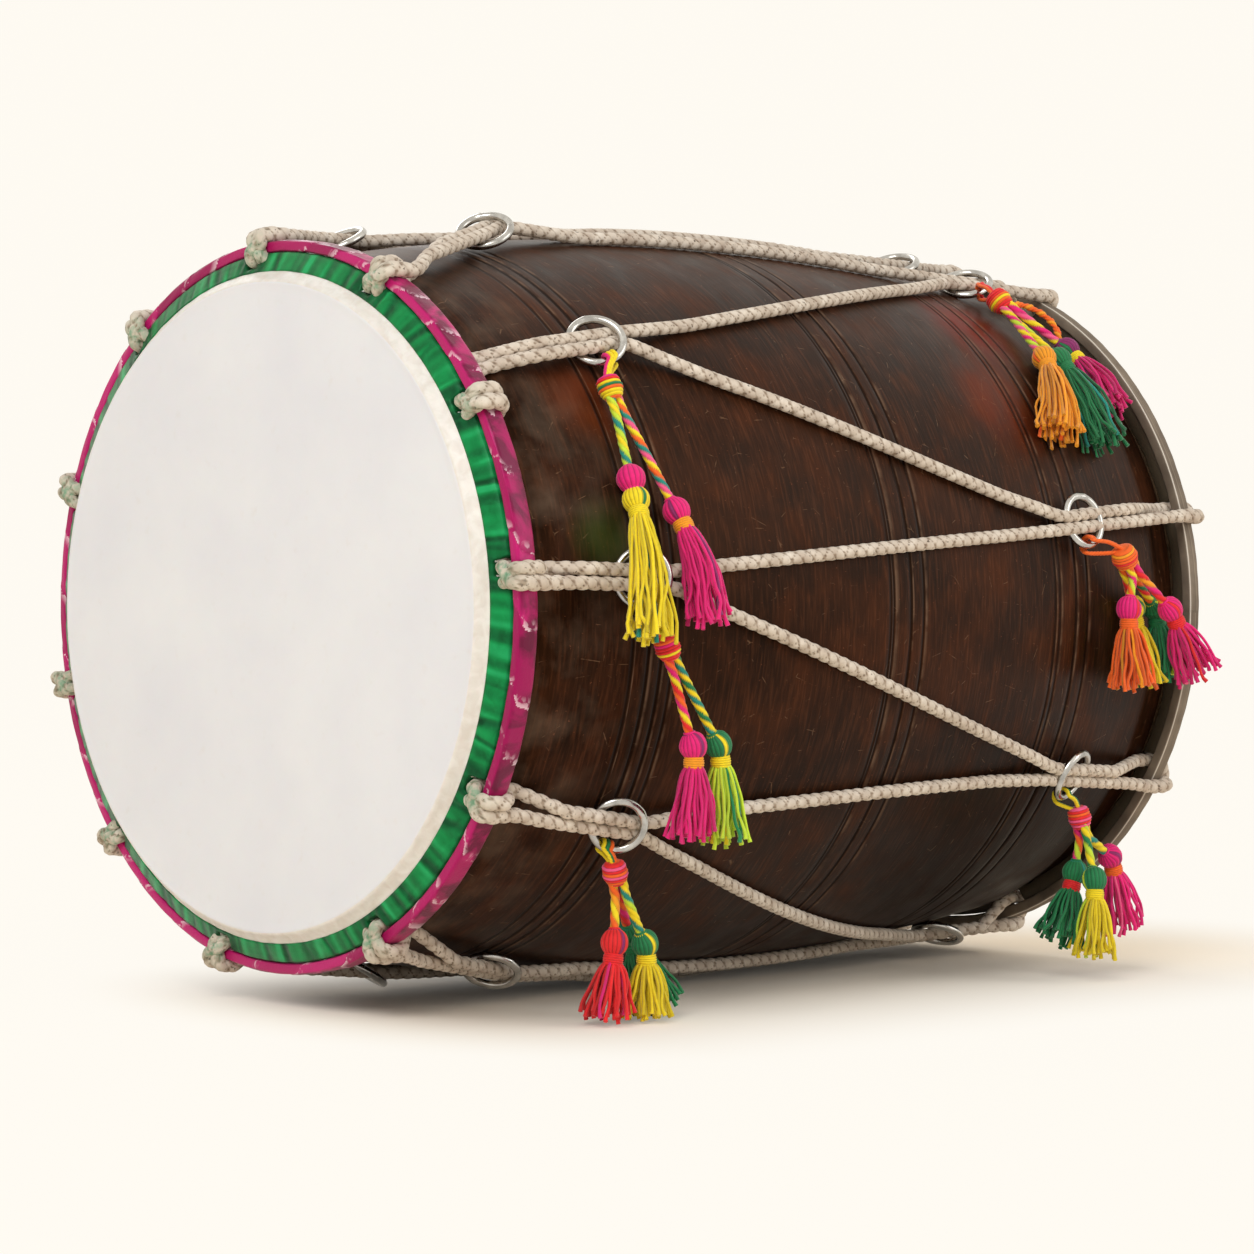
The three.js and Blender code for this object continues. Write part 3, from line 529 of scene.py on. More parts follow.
# %% The cords
# Colours of each tassel: its cord's strands, head, the head's stitch, binding, fringe, the fringe's odd
# threads, and the small ball over the head, where there is one
LOOKS = {
    "upper_treble_yellow": ("yellow lime teal lime", "yellow", "green", "yellow",
        "yellow", "teal green", "magenta"),
    "upper_treble_magenta": ("orange teal pink yellow", "magenta", "plum", "amber",
        "magenta", "plum", None),
    "middle_treble_magenta": ("orange magenta yellow red", "magenta", "plum", "amber",
        "magenta", "plum", None),
    "middle_treble_lime": ("yellow teal yellow green", "green", "yellow", "yellow",
        "lime", "green green yellow", None),
    "lower_treble_red": ("orange amber yellow", "red", "plum", "red", "red", "magenta", None),
    "lower_treble_yellow": ("yellow teal lime yellow", "green", "yellow", "yellow", "yellow", "lime", None),
    "lower_treble_green": ("magenta red orange", "green", "teal", "green", "green", "teal", None),
    "upper_bass_amber": ("yellow magenta lime pink", "amber", "orange", "amber", "amber", "orange", None),
    "upper_bass_green": ("yellow yellow lime", "green", "teal", "green", "green", "teal", None),
    "upper_bass_magenta": ("magenta pink yellow", "plum", "green", "yellow", "magenta", "pink plum", None),
    "middle_bass_orange": ("yellow magenta lime orange", "magenta", "red", "orange",
        "orange", "red amber", None),
    "middle_bass_yellow": ("orange yellow red", "yellow", "green", "yellow", "yellow", "lime green", None),
    "middle_bass_green": ("green red yellow orange", "green", "lime", "green", "green", "lime", None),
    "middle_bass_magenta": ("magenta red amber", "magenta", "red", "red", "magenta", "red red pink", None),
    "lower_bass_green": ("magenta orange lime", "green", "teal", "red", "green", "teal", None),
    "lower_bass_yellow": ("yellow green lime", "green", "lime", "yellow", "yellow", "lime", None),
    "lower_bass_magenta": ("yellow teal yellow", "magenta", "plum", "orange", "magenta", "pink", None),
}


def beside(wire, shares):
    """Place beside the barrel, from a point on a ring's wire."""
    along, out, turn = shares
    station = wire[0] + LENGTH / 2 + along * SPAN
    return place(station, barrel_radius(station) + out * SPAN, angle_of(wire) + turn)


def tie_of(stem, wrap, tassels):
    """Middle and axis of a bunch's wrapped knot."""
    middle = beside(stem["wire"], wrap)
    heads = np.mean([beside(stem["wire"], t[1]) for t in tassels.values()], axis=0)
    return middle, unit(heads - middle)


tassels = {}
for bunch, (stem, wrap, members) in BUNCHES.items():
    knot, axis = tie_of(stem, wrap, members)
    across = unit(np.array([1.0, 0, 0]) - axis * axis[0])
    outward = np.cross(axis, across)
    outward = -outward if outward[1] > 0 else outward
    seat_radius = (CORD_RADIUS + GAP) / math.sin(math.pi / len(members))
    for name, (seat, head, bend, tip) in members.items():
        turn = math.radians(seat)
        start = knot + axis * (WRAP_HALF_LENGTH + 2 * GAP) + seat_radius * (
            across * math.cos(turn) + outward * math.sin(turn))
        lead = start + CORD_LEAD * axis
        ball = beside(stem["wire"], head)
        bends = [beside(stem["wire"], bend)] if bend else []
        path = smooth_path([start - 7 * axis, start, lead, (lead + ball) / 2, ball], 0.9)
        full = f"{bunch}_{name}"
        strands = LOOKS[full][0].split()
        part = wound(path, np.full(len(path), CORD_RADIUS), 20, len(strands), CORD_PITCH, 0.55, strands)
        tassels[full] = {
            "bunch": bunch, "exit": start, "path": path, "head": ball,
            "cord": make_object(f"cord_{full}", part, cotton_thread),
            "run": [ball, *bends, beside(stem["wire"], tip)],
        }
print("cords:", {k: round(path_length(t["path"])) for k, t in tassels.items()})

# %% [markdown]
# ## Bound heads
# The head of a tassel is a ball of thread laid over a core from top to bottom, so its ridges run like
# meridians. Under the ball a binding of eight or so tight turns holds the threads. Both are wound
# surfaces along the tassel's own path: the ball with straight ridges, the binding with level ones.


# %% Heads and bindings
BEYOND = 20.0             # how far a path is made longer, straight on, at both of its ends
BINDING_TOP = 1.85 * KNOB_RADIUS
BINDING_LENGTH = 6.4
FRINGE_TOP = BINDING_TOP + 5.4      # the fringe starts inside the binding


def stretch_of(path, start, end, step=0.45):
    """Part of a path between two distances from its start, which may lie a little beyond its ends."""
    path = np.concatenate([2 * path[:1] - path[1:2], path, 2 * path[-1:] - path[-2:-1]])
    path[0] = path[1] + unit(path[0] - path[1]) * BEYOND
    path[-1] = path[-2] + unit(path[-1] - path[-2]) * BEYOND
    return at_distances(path, travelled(path) - BEYOND, np.arange(start, end + step / 2, step))


def ball_radii(count, radius, neck):
    """Radii down a ball from its top to its neck."""
    t = np.linspace(0, 1, count)
    round_part = np.sqrt(np.clip(1 - ((t - 0.52) / 0.53) ** 2, 0.02, 1)) * radius
    return np.maximum(round_part, np.where(t > 0.5, neck, CORD_RADIUS))


for full, tassel in tassels.items():
    _, head_colour, stitch, binding, _, _, bead = LOOKS[full]
    toward = unit(tassel["path"][-1] - tassel["path"][-6])
    whole = smooth_path([tassel["head"] - toward * KNOB_RADIUS * 1.15, *tassel["run"]], 0.5)
    tassel["whole"] = whole
    ball = stretch_of(whole, 0, 2.05 * KNOB_RADIUS)
    colours = [head_colour] * 9 + [stitch] + [head_colour] * 8
    parts = [wound(ball, ball_radii(len(ball), KNOB_RADIUS + 0.3, 4.6), 72, 18, 0, 0.55, colours)]
    # A few level turns close the ball's top, where the cord goes in
    cap = stretch_of(whole, -0.4, 3.2, 0.3)
    parts.append(wound(cap, np.linspace(3.2, 4.6, len(cap)), 24, 1, 1.25, 0.45, [stitch, head_colour]))
    turns = stretch_of(whole, BINDING_TOP, BINDING_TOP + BINDING_LENGTH, 0.25)
    bulge = 5.2 + 0.55 * np.sin(np.linspace(0, math.pi, len(turns)))
    parts.append(wound(turns, bulge, 26, 1, 1.3, 0.5, [binding]))
    if bead:
        small = stretch_of(whole, -12.5, 2.6)
        parts.append(wound(small, ball_radii(len(small), 8.0, 5.4), 60, 15, 0, 0.5, [bead]))
    tassel["head_piece"] = make_object(f"head_{full}", joined(parts), cotton_thread)
print("heads:", len(tassels))

# %% [markdown]
# ## Fringes
# Below the binding some forty soft threads, about 2 mm thick, hang side by side and spread a
# little. Geometry Nodes make them: one guide line is copied once for each thread, the copies are moved
# apart in a spiral that fills a round section, a little noise lets them stray, and each is thickened
# and ends bluntly at its own length. Named inputs hold the sizes, so each fringe gets its own.


# %% A tree that spreads a line into a fringe
def new_tree(name, inputs):
    """Geometry Nodes tree with named inputs beside its geometry."""
    made = bpy.data.node_groups.new(name, "GeometryNodeTree")
    made.interface.new_socket("Geometry", in_out="INPUT", socket_type="NodeSocketGeometry")
    made.interface.new_socket("Geometry", in_out="OUTPUT", socket_type="NodeSocketGeometry")
    for title, kind in inputs.items():
        made.interface.new_socket(title, in_out="INPUT", socket_type=f"NodeSocket{kind}")
    return made, made.nodes.new("NodeGroupInput").outputs


def run_tree(made, points, values, name, attributes=None):
    """Object that a tree makes from a line of points in millimetres. Inputs are set by identifier."""
    source_mesh = bpy.data.meshes.new(f"{name}_line")
    edges = [(i, i + 1) for i in range(len(points) - 1)]
    source_mesh.from_pydata((np.asarray(points) * MM).tolist(), edges, [])
    for key, value in (attributes or {}).items():
        store(source_mesh, key, value)
    source = bpy.data.objects.new(f"{name}_line", source_mesh)
    scene.collection.objects.link(source)
    modifier = source.modifiers.new("tree", "NODES")
    modifier.node_group = made
    for item in made.interface.items_tree:
        if item.item_type == "SOCKET" and item.in_out == "INPUT" and item.name in values:
            modifier[item.identifier] = values[item.name]
    depsgraph = bpy.context.evaluated_depsgraph_get()
    mesh = bpy.data.meshes.new_from_object(source.evaluated_get(depsgraph), depsgraph=depsgraph)
    source.modifiers.remove(modifier)
    bpy.data.objects.remove(source)
    mesh.name = name
    result = bpy.data.objects.new(name, mesh)
    scene.collection.objects.link(result)
    return result


GOLDEN_ANGLE = math.pi * (3 - math.sqrt(5))
fringe_tree, given = new_tree("fringe", {
    "Count": "Int", "Neck": "Float", "Tip": "Float", "Thickness": "Float", "Stray": "Float",
    "Shortest": "Float", "Seed": "Int", "Material": "Material",
})
tree = fringe_tree
line = add_node(tree, "GeometryNodeMeshToCurve", {"Mesh": given["Geometry"]})
line = add_node(tree, "GeometryNodeResampleCurve", {"Curve": line, "Count": 13})
copies = add_node(tree, "GeometryNodeDuplicateElements", {
    "Geometry": line, "Amount": given["Count"]}, domain="SPLINE")
numbered = add_node(tree, "GeometryNodeStoreNamedAttribute", {
    "Geometry": copies.outputs["Geometry"], "Name": "thread", "Value": copies.outputs["Duplicate Index"],
}, data_type="INT", domain="CURVE")
number = add_node(tree, "GeometryNodeInputNamedAttribute", {"Name": "thread"}, data_type="INT")
number = number.outputs["Attribute"]
share = add_node(tree, "GeometryNodeSplineParameter").outputs["Factor"]
# Each thread is a golden angle on from the last, and as far out as fills the section evenly
golden = add_node(tree, "ShaderNodeMath", {0: number, 1: GOLDEN_ANGLE}, operation="MULTIPLY")
golden = add_node(tree, "ShaderNodeMath", {0: golden, 1: given["Seed"]}, operation="ADD")
rank = add_node(tree, "ShaderNodeMath", {0: number, 1: 0.5}, operation="ADD")
rank = add_node(tree, "ShaderNodeMath", {0: rank, 1: given["Count"]}, operation="DIVIDE")
rank = add_node(tree, "ShaderNodeMath", {0: rank}, operation="SQRT")
opening = add_node(tree, "ShaderNodeMath", {0: share, 1: 0.6}, operation="POWER")
wide = add_node(tree, "ShaderNodeMapRange", {
    "Value": opening, "To Min": given["Neck"], "To Max": given["Tip"]}).outputs["Result"]
reach = add_node(tree, "ShaderNodeMath", {0: rank, 1: wide}, operation="MULTIPLY")
side = add_node(tree, "GeometryNodeInputNormal").outputs["Normal"]
ahead = add_node(tree, "GeometryNodeInputTangent").outputs["Tangent"]
other = add_node(tree, "ShaderNodeVectorMath", {0: ahead, 1: side}, operation="CROSS_PRODUCT")
moves = []
for vector, function in ((side, "COSINE"), (other, "SINE")):
    scale = add_node(tree, "ShaderNodeMath", {0: golden}, operation=function)
    scale = add_node(tree, "ShaderNodeMath", {0: reach, 1: scale}, operation="MULTIPLY")
    moves.append(add_node(tree, "ShaderNodeVectorMath", {0: vector, "Scale": scale}, operation="SCALE"))
# Noise that differs from thread to thread lets them stray, more and more towards their ends
shift = add_node(tree, "ShaderNodeMath", {0: number, 1: 0.37}, operation="MULTIPLY")
shift = add_node(tree, "ShaderNodeCombineXYZ", {0: shift, 1: given["Seed"]})
spot = add_node(tree, "GeometryNodeInputPosition").outputs["Position"]
spot = add_node(tree, "ShaderNodeVectorMath", {0: spot, 1: shift}, operation="ADD")
wave = add_node(tree, "ShaderNodeTexNoise", {"Vector": spot, "Scale": 45.0, "Detail": 1.0})
wave = add_node(tree, "ShaderNodeVectorMath", {
    0: wave.outputs["Color"], 1: (0.5, 0.5, 0.5)}, operation="SUBTRACT")
stray = add_node(tree, "ShaderNodeMath", {0: given["Stray"], 1: share}, operation="MULTIPLY")
moves.append(add_node(tree, "ShaderNodeVectorMath", {0: wave, "Scale": stray}, operation="SCALE"))
total = add_node(tree, "ShaderNodeVectorMath", {0: moves[0], 1: moves[1]}, operation="ADD")
total = add_node(tree, "ShaderNodeVectorMath", {0: total, 1: moves[2]}, operation="ADD")
spread = add_node(tree, "GeometryNodeSetPosition", {"Geometry": numbered, "Offset": total})
end = add_node(tree, "FunctionNodeRandomValue", {
    "Min": given["Shortest"], "Max": 1.0, "ID": number, "Seed": given["Seed"]}, data_type="FLOAT")
cut = add_node(tree, "GeometryNodeTrimCurve", {
    "Curve": spread, "End": socket(end.outputs, "Value")}, mode="FACTOR")
cut = add_node(tree, "GeometryNodeResampleCurve", {"Curve": cut, "Count": 14})
# The cut end of each thread swells into a small knob
knob = add_node(tree, "ShaderNodeMapRange", {
    "Value": share, "From Min": 0.9, "From Max": 0.95, "To Min": 1.0, "To Max": 1.5}).outputs["Result"]
section = add_node(tree, "GeometryNodeCurvePrimitiveCircle", {
    "Resolution": 6, "Radius": given["Thickness"]}, mode="RADIUS")
solid = add_node(tree, "GeometryNodeCurveToMesh", {
    "Curve": cut, "Profile Curve": section.outputs["Curve"], "Scale": knob, "Fill Caps": True})
real = add_node(tree, "GeometryNodeRealizeInstances", {"Geometry": solid})
real = add_node(tree, "GeometryNodeSetMaterial", {"Geometry": real, "Material": given["Material"]})
add_node(tree, "NodeGroupOutput", {"Geometry": real})
print("fringe tree has", len(fringe_tree.nodes), "nodes")


# %% Seventeen fringes
THREAD_RADIUS = 0.9
CLEAR_OF_BARREL = 1.3
CLEAR_OF_FLOOR = 1.5
FRINGE_THREADS = 44
FRINGE_NECK = 4.6         # radius of a fringe inside its binding
FRINGE_TIP = 15.0         # and at its end
SLIM_TIP = 13.2           # in the upper treble bunch
TINTS = 64                # number of colours, each a little lighter or darker, that a fringe's threads take


def keep_off_barrel(points, low, soft=1.6):
    """Move points that would be inside the barrel out along the radius, keeping their order."""
    height = height_over_barrel(points)
    eased = low + soft * np.log1p(np.exp(np.clip((height - low) / soft, -30, 30)))
    wanted = np.where(height > low + 8 * soft, height, eased)
    radius = np.hypot(points[:, 1], points[:, 2] - AXIS_HEIGHT)
    factor = (radius + wanted - height) / radius
    moved = points.copy()
    moved[:, 1] *= factor
    moved[:, 2] = AXIS_HEIGHT + (points[:, 2] - AXIS_HEIGHT) * factor
    return moved


def clear(points):
    """Points kept clear of the barrel and of the floor."""
    return above(keep_off_barrel(points, CLEAR_OF_BARREL), CLEAR_OF_FLOOR)


for order, (full, tassel) in enumerate(tassels.items()):
    fringe, odd = LOOKS[full][4:6]
    guide = stretch_of(tassel["whole"], FRINGE_TOP, path_length(tassel["whole"]), 2.5)
    tip = SLIM_TIP if tassel["bunch"] == "upper_treble" else FRINGE_TIP
    piece = run_tree(fringe_tree, guide, {
        "Count": FRINGE_THREADS, "Neck": FRINGE_NECK * MM, "Tip": tip * MM, "Thickness": THREAD_RADIUS * MM,
        "Stray": 17 * MM, "Shortest": 0.86, "Seed": 11 + order, "Material": cotton_thread,
    }, f"fringe_{full}")
    mesh = piece.data
    move_points(mesh, clear)
    threads = np.zeros(len(mesh.vertices), np.int32)
    mesh.attributes["thread"].data.foreach_get("value", threads)
    rng = np.random.default_rng(40 + order)
    pool = [fringe] * 17 + odd.split()
    choice = rng.integers(0, len(pool), TINTS)
    tint = rng.uniform(0.75, 1.12, TINTS)
    palette = np.array([linear(THREADS[pool[c]]) for c in choice]) * tint[:, None]
    store(mesh, "thread_colour", palette[threads % TINTS])
    store(mesh, "ridge", rng.uniform(0.2, 1.0, TINTS)[threads % TINTS])
    tassel["fringe"] = piece
print("the first fringe has", len(tassels["upper_treble_yellow"]["fringe"].data.polygons), "faces")

# %% [markdown]
# ## Ties
# Each bunch hangs on its ring by two or three loops of thread round the wire. They end in a thick knot,
# wrapped level with thread of several colours. A loop is a winding along a bent path that goes round the
# wire and back into the knot, and the knot is a winding whose radius swells and narrows.

# %% Loops and wrapped knots
# Colours of each tie: its loops, and the thread of its knot
TIE_LOOKS = {
    "upper_treble": ("magenta yellow yellow",
        "magenta magenta red yellow green orange yellow yellow orange yellow yellow"),
    "middle_treble": ("orange red lime", "red red orange magenta red red yellow red"),
    "lower_treble": ("yellow green orange", "orange red pink red orange pink red"),
    "upper_bass": ("red orange", "red red red red orange yellow orange red"),
    "middle_bass": ("orange orange", "orange orange amber orange orange red"),
    "lower_bass": ("green yellow", "red pink red orange red pink"),
}
KNOT_RADIUS = 7.0
STOUT_KNOTS = {"middle_bass": 7.9, "upper_bass": 7.6}
LOOP_THREAD = 1.25        # radius of a loop's thread
LOOP_STEP = 1.9           # from one loop to the next, in radii of that thread
LOOP_ROOM = {"treble": 0.5, "bass": 1.35}      # between the wire and a loop
LOOP_LEGS = {"treble": 2.6, "bass": 4.0}       # from a loop's middle to its legs
SWINGS = {"lower_bass": 45, "middle_bass": 45, "upper_bass": 60}


def turned_about(vector, axis, degrees):
    """A vector turned about an axis through the origin."""
    angle = math.radians(degrees)
    return (vector * math.cos(angle) + np.cross(axis, vector) * math.sin(angle)
            + axis * axis.dot(vector) * (1 - math.cos(angle)))


ties = {}
for bunch, (stem, wrap, members) in BUNCHES.items():
    knot, axis = tie_of(stem, wrap, members)
    loop_colours, knot_colours = (names.split() for names in TIE_LOOKS[bunch])
    # Loops on the bass rings stand half their swing back, so that they clear the wire at both limits
    lean = turned_about(stem["lean"], stem["hinge"], -SWINGS.get(bunch, 0) / 2)
    end = bunch.split("_")[1]
    loop_radius, legs = WIRE_RADIUS + LOOP_ROOM[end] + LOOP_THREAD, LOOP_LEGS[end]
    down = unit((knot - stem["wire"]) - lean * lean.dot(knot - stem["wire"]))
    beyond = np.cross(lean, down)
    mouth = knot - axis * WRAP_HALF_LENGTH * 0.75
    turn = np.radians(np.linspace(-110, 110, 9))[:, None]
    parts = []
    for number, colour in enumerate(loop_colours):
        offset = (number - (len(loop_colours) - 1) / 2) * LOOP_STEP * LOOP_THREAD
        top = stem["wire"] + lean * offset + loop_radius * (beyond * np.sin(turn) - down * np.cos(turn))
        foot = mouth + lean * offset * 0.5
        middle = (foot + stem["wire"] + lean * offset) / 2
        near, far = middle - beyond * legs, middle + beyond * legs
        loop = smooth_path([foot - beyond, near, *top, far, foot + beyond], 0.6)
        parts.append(wound(loop, np.full(len(loop), LOOP_THREAD), 12, 3, 7, 0.25, [colour]))
    body = knot + axis * np.linspace(-WRAP_HALF_LENGTH, WRAP_HALF_LENGTH, 64)[:, None]
    t = np.linspace(-1, 1, 64)
    size = STOUT_KNOTS.get(bunch, KNOT_RADIUS)
    swell = size * (1 - 0.42 * np.abs(t) ** 4) * (1 - 0.1 * np.maximum(t, 0))
    swell = swell * (1 + 0.035 * np.sin(7 * t + size))
    parts.append(wound(body, swell, 44, 1, 1.75, 0.6, knot_colours))
    if bunch == "upper_bass":
        # A braid of orange thread runs from the knot, in a bow, to the magenta tassel's head
        ball = tassels["upper_bass_magenta"]["head"] - 6 * axis
        bow = np.array([0.8, -0.1, 0.6])
        braid = smooth_path([
            knot + 4 * axis, 0.75 * knot + 0.25 * ball + 7.5 * bow, (knot + ball) / 2 + 10.5 * bow,
            0.25 * knot + 0.75 * ball + 8.5 * bow, ball], 0.6)
        parts.append(wound(braid, 2.0 + 0.35 * np.sin(np.linspace(0, 40, len(braid))), 20, 3, 9, 0.6,
                           ["orange", "amber", "orange"]))
    ties[bunch] = make_object(f"wrap_{bunch}", joined(parts), cotton_thread)
print("ties:", len(ties))

# %% [markdown]
# ## The shell
# The barrel is turned from one dark log. Its outline is a line of stations and radii that is swept round
# the axis. Four bands of scribed grooves are cut in the outline itself, so they catch the light, and an
# attribute marks them for the finish. A turned piece has the same outline everywhere, so a grid of rows
# and columns is all it needs.

# %% Turned pieces
GROOVES = {
    82: 0.45, 92.5: 0.8, 101: 0.8, 108.5: 0.45, 268.5: 0.45, 271: 0.45, 285.5: 0.8, 296: 0.5,
    416: 0.5, 420.5: 0.5, 436.5: 0.8, 448: 0.5, 525: 0.35, 534: 0.35,
}
GROOVE_WIDTH = 1.7        # half the width of a groove
SHELL_END = 32            # the barrel's outline starts this far inside each hoop's face
WALL = 11.0               # of the shell at its ends


def turned(outline, columns, **values):
    """Part of a mesh from an outline of stations and radii, swept round the axis, open at both ends."""
    angles = np.linspace(0, 360, columns, endpoint=False)
    stations, radii = np.asarray(outline, float).T
    points = place(stations[:, None], radii[:, None], angles[None, :])
    spread = {k: np.repeat(np.asarray(v, float), columns) for k, v in values.items()}
    return grid(points, wrap_rows=True, caps=False, **spread)


def groove_depth(station):
    """How deep the grooves are at a station."""
    depth = np.zeros_like(station)
    for middle, deep in GROOVES.items():
        depth = np.maximum(depth, deep * np.clip(1 - np.abs(station - middle) / GROOVE_WIDTH, 0, 1))
    return depth


def shell_outline():
    """Outline of the shell, round its wall, with how much each point lies in a groove."""
    crest = HEAD_RISE - 1.1 - GAP
    stations = set(np.arange(SHELL_END, LENGTH - SHELL_END + 1, 4.0).tolist())
    for middle in GROOVES:
        stations |= {middle + GROOVE_WIDTH * s for s in (-1.05, -0.6, -0.2, 0.2, 0.6, 1.05)}
    middle = np.array(sorted(s for s in stations if SHELL_END <= s <= LENGTH - SHELL_END))
    outside = [[s, r - d] for s, r, d in zip(middle, barrel_radius(middle), groove_depth(middle))]
    marks = np.clip(groove_depth(middle) / 0.3, 0, 1)
    # The shoulder of each groove towards the bass head gets a painted highlight
    shoulders = np.array([GROOVE_WIDTH * 1.05 + m for m in GROOVES])
    rubbed = (np.abs(middle[:, None] - shoulders[None]).min(1) < 0.01).astype(float)
    ends = []
    for end in (TREBLE, BASS):
        def at(inward, radius):
            return [end["face"] + end["inward"] * inward, radius]

        bearing, neck = end["bearing"], end["neck"]
        ends.append(([
            at(-crest + 0.6, bearing - WALL), at(-crest, bearing - 10), at(-crest, bearing - 5),
            at(1.5 - crest, bearing - 1.5), at(4 - crest, bearing), at(8, bearing), at(8, neck - 0.4),
            at(8.4, neck), at(19, neck), at(22, neck + (0.5 if end is TREBLE else 0.2)),
        ], [at(8, bearing - WALL)]))
    hollow, treble_bore, bass_bore = BELLY_RADIUS - 13, TREBLE["bearing"] - WALL, BASS["bearing"] - WALL
    inside = [[s, hollow - (hollow - bore) * ((s - LENGTH / 2) / (LENGTH / 2 - 8)) ** 2]
              for s, bore in ((470, bass_bore), (380, bass_bore), (LENGTH / 2, 0), (170, treble_bore),
                              (80, treble_bore))]
    outline = ends[0][0] + outside + ends[1][0][::-1] + ends[1][1] + inside + ends[0][1]
    before, after = [0] * len(ends[0][0]), [0] * (len(outline) - len(ends[0][0]) - len(marks))
    return outline, before + marks.tolist() + after, before + rubbed.tolist() + after


outline, groove, rubbed = shell_outline()
shell = make_object("turned_shell", turned(outline, 256, groove=groove, rubbed=rubbed))
print("shell outline has", len(outline), "points")

# %% [markdown]
# ## Heads
# Each head is a thin skin, rolled round a hidden hoop of cane and pressed down over the shell's edge. Its
# flat ends in a slight ridge, where it bends down to its rim. At each hitch the rope presses the rim in.
# The skin is turned as the shell is, and then its points are moved: small waves in the collar, and a
# dent at each hitch.

# %% Skins with dents at the hitches
NOTCH = 3.9               # half the width of the dent that the rope's under strand takes up in the rim
HITCH_PITCH = 8.8         # from the strand over a hoop to the one under it


def hitch_share(angles, hitches, radius, half=NOTCH, soft=1.6):
    """How much each angle lies over a hitch's under strand, from 0 to 1, with soft sides."""
    middles = np.asarray(hitches) + math.degrees(HITCH_PITCH / 2 / radius)
    apart = np.abs((np.asarray(angles)[:, None] - middles[None, :] + 180) % 360 - 180)
    reach = np.radians(apart.min(1)) * radius
    share = np.clip((half + soft - reach) / soft, 0, 1)
    return share**2 * (3 - 2 * share)


def skin_points(end, hitches, outline, columns, waves, seed):
    """Points of a skin from its outline, with waves in the collar and dents at the hitches."""
    angles = np.linspace(0, 360, columns, endpoint=False)
    inward, radii = np.asarray(outline, float).T
    radius = np.repeat(radii[:, None], columns, 1)
    depth = np.repeat(inward[:, None], columns, 1)
    rng = np.random.default_rng(seed)
    wave = np.zeros(columns)
    for cycles in (23, 37, 61, 88):
        wave += rng.uniform(0.3, 1) * np.sin(np.radians(angles) * cycles + rng.uniform(0, 6.3))
    collar = np.clip((radius - end["crease"]) / (end["rim"] - end["crease"]), 0, 1)
    radius = radius + waves * wave[None, :] * collar * (1 - collar) * 4
    pressed = hitch_share(angles, hitches, end["floor"])[None, :]
    sunk = np.minimum(radius, end["floor"] - 0.1)
    radius = radius * (1 - pressed) + sunk * pressed
    points = place(end["face"] + end["inward"] * depth, radius, angles[None, :])
    return points, collar


def head_outline(end):
    """Outside and inside of a skin, from its middle round the rim and back."""
    crease, wrap, rim = end["crease"], end["wrap"], end["rim"]
    flat = [[-HEAD_RISE, r] for r in (0.4, 20, 50, 80, 110, 135, 155, 168, crease - 6, crease - 2.5)]
    ridge = [
        [-HEAD_RISE - 0.25, crease - 1.2], [-HEAD_RISE - 0.3, crease], [-HEAD_RISE + 0.35, crease + 1.4]]
    slope = [[-9.2, crease + 2.3], [-6.5, crease + 5], [-3.8, wrap], [-2.4, wrap + 2.9], [-1, wrap + 5.8],
             [0.1, rim - 0.7], [0.9, rim], [2.6, rim], [4.5, rim], [4.8, rim - 0.5]]
    inside = [[4.8, wrap + 0.3], [4.5, wrap], [0, wrap], [-2.4, wrap], [-6, crease + 3.4],
              [1.1 - HEAD_RISE, crease - 0.3]]
    inner = [[1.1 - HEAD_RISE, r] for r in (150, 100, 50, 0.4)]
    return flat + ridge + slope + inside + inner


treble_hitches = [s["hitch"] for s in treble_stems]
bass_hitches = [s["hitch"] for s in bass_stems]
skins = {}
for name, end, hitches, waves in (
        ("treble", TREBLE, treble_hitches, 0.12), ("bass", BASS, bass_hitches, 0.25)):
    points, collar = skin_points(end, hitches, head_outline(end), 720, waves, seed=len(name))
    skins[name] = make_object(f"{name}_head", grid(points, caps=True, collar=collar.ravel()))
print("skins:", [len(s.data.polygons) for s in skins.values()])

# %% [markdown]
# ## The green band
# A folded strip of green satin goes over the rim of the treble head, under the magenta hoop. It lies in
# uneven pleats, and each hitch of the rope crumples it. The strip is a sheet: it is laid along the skin's
# slope, and its pleats are waves that run, more or less slanted, from its inner edge to the hoop.

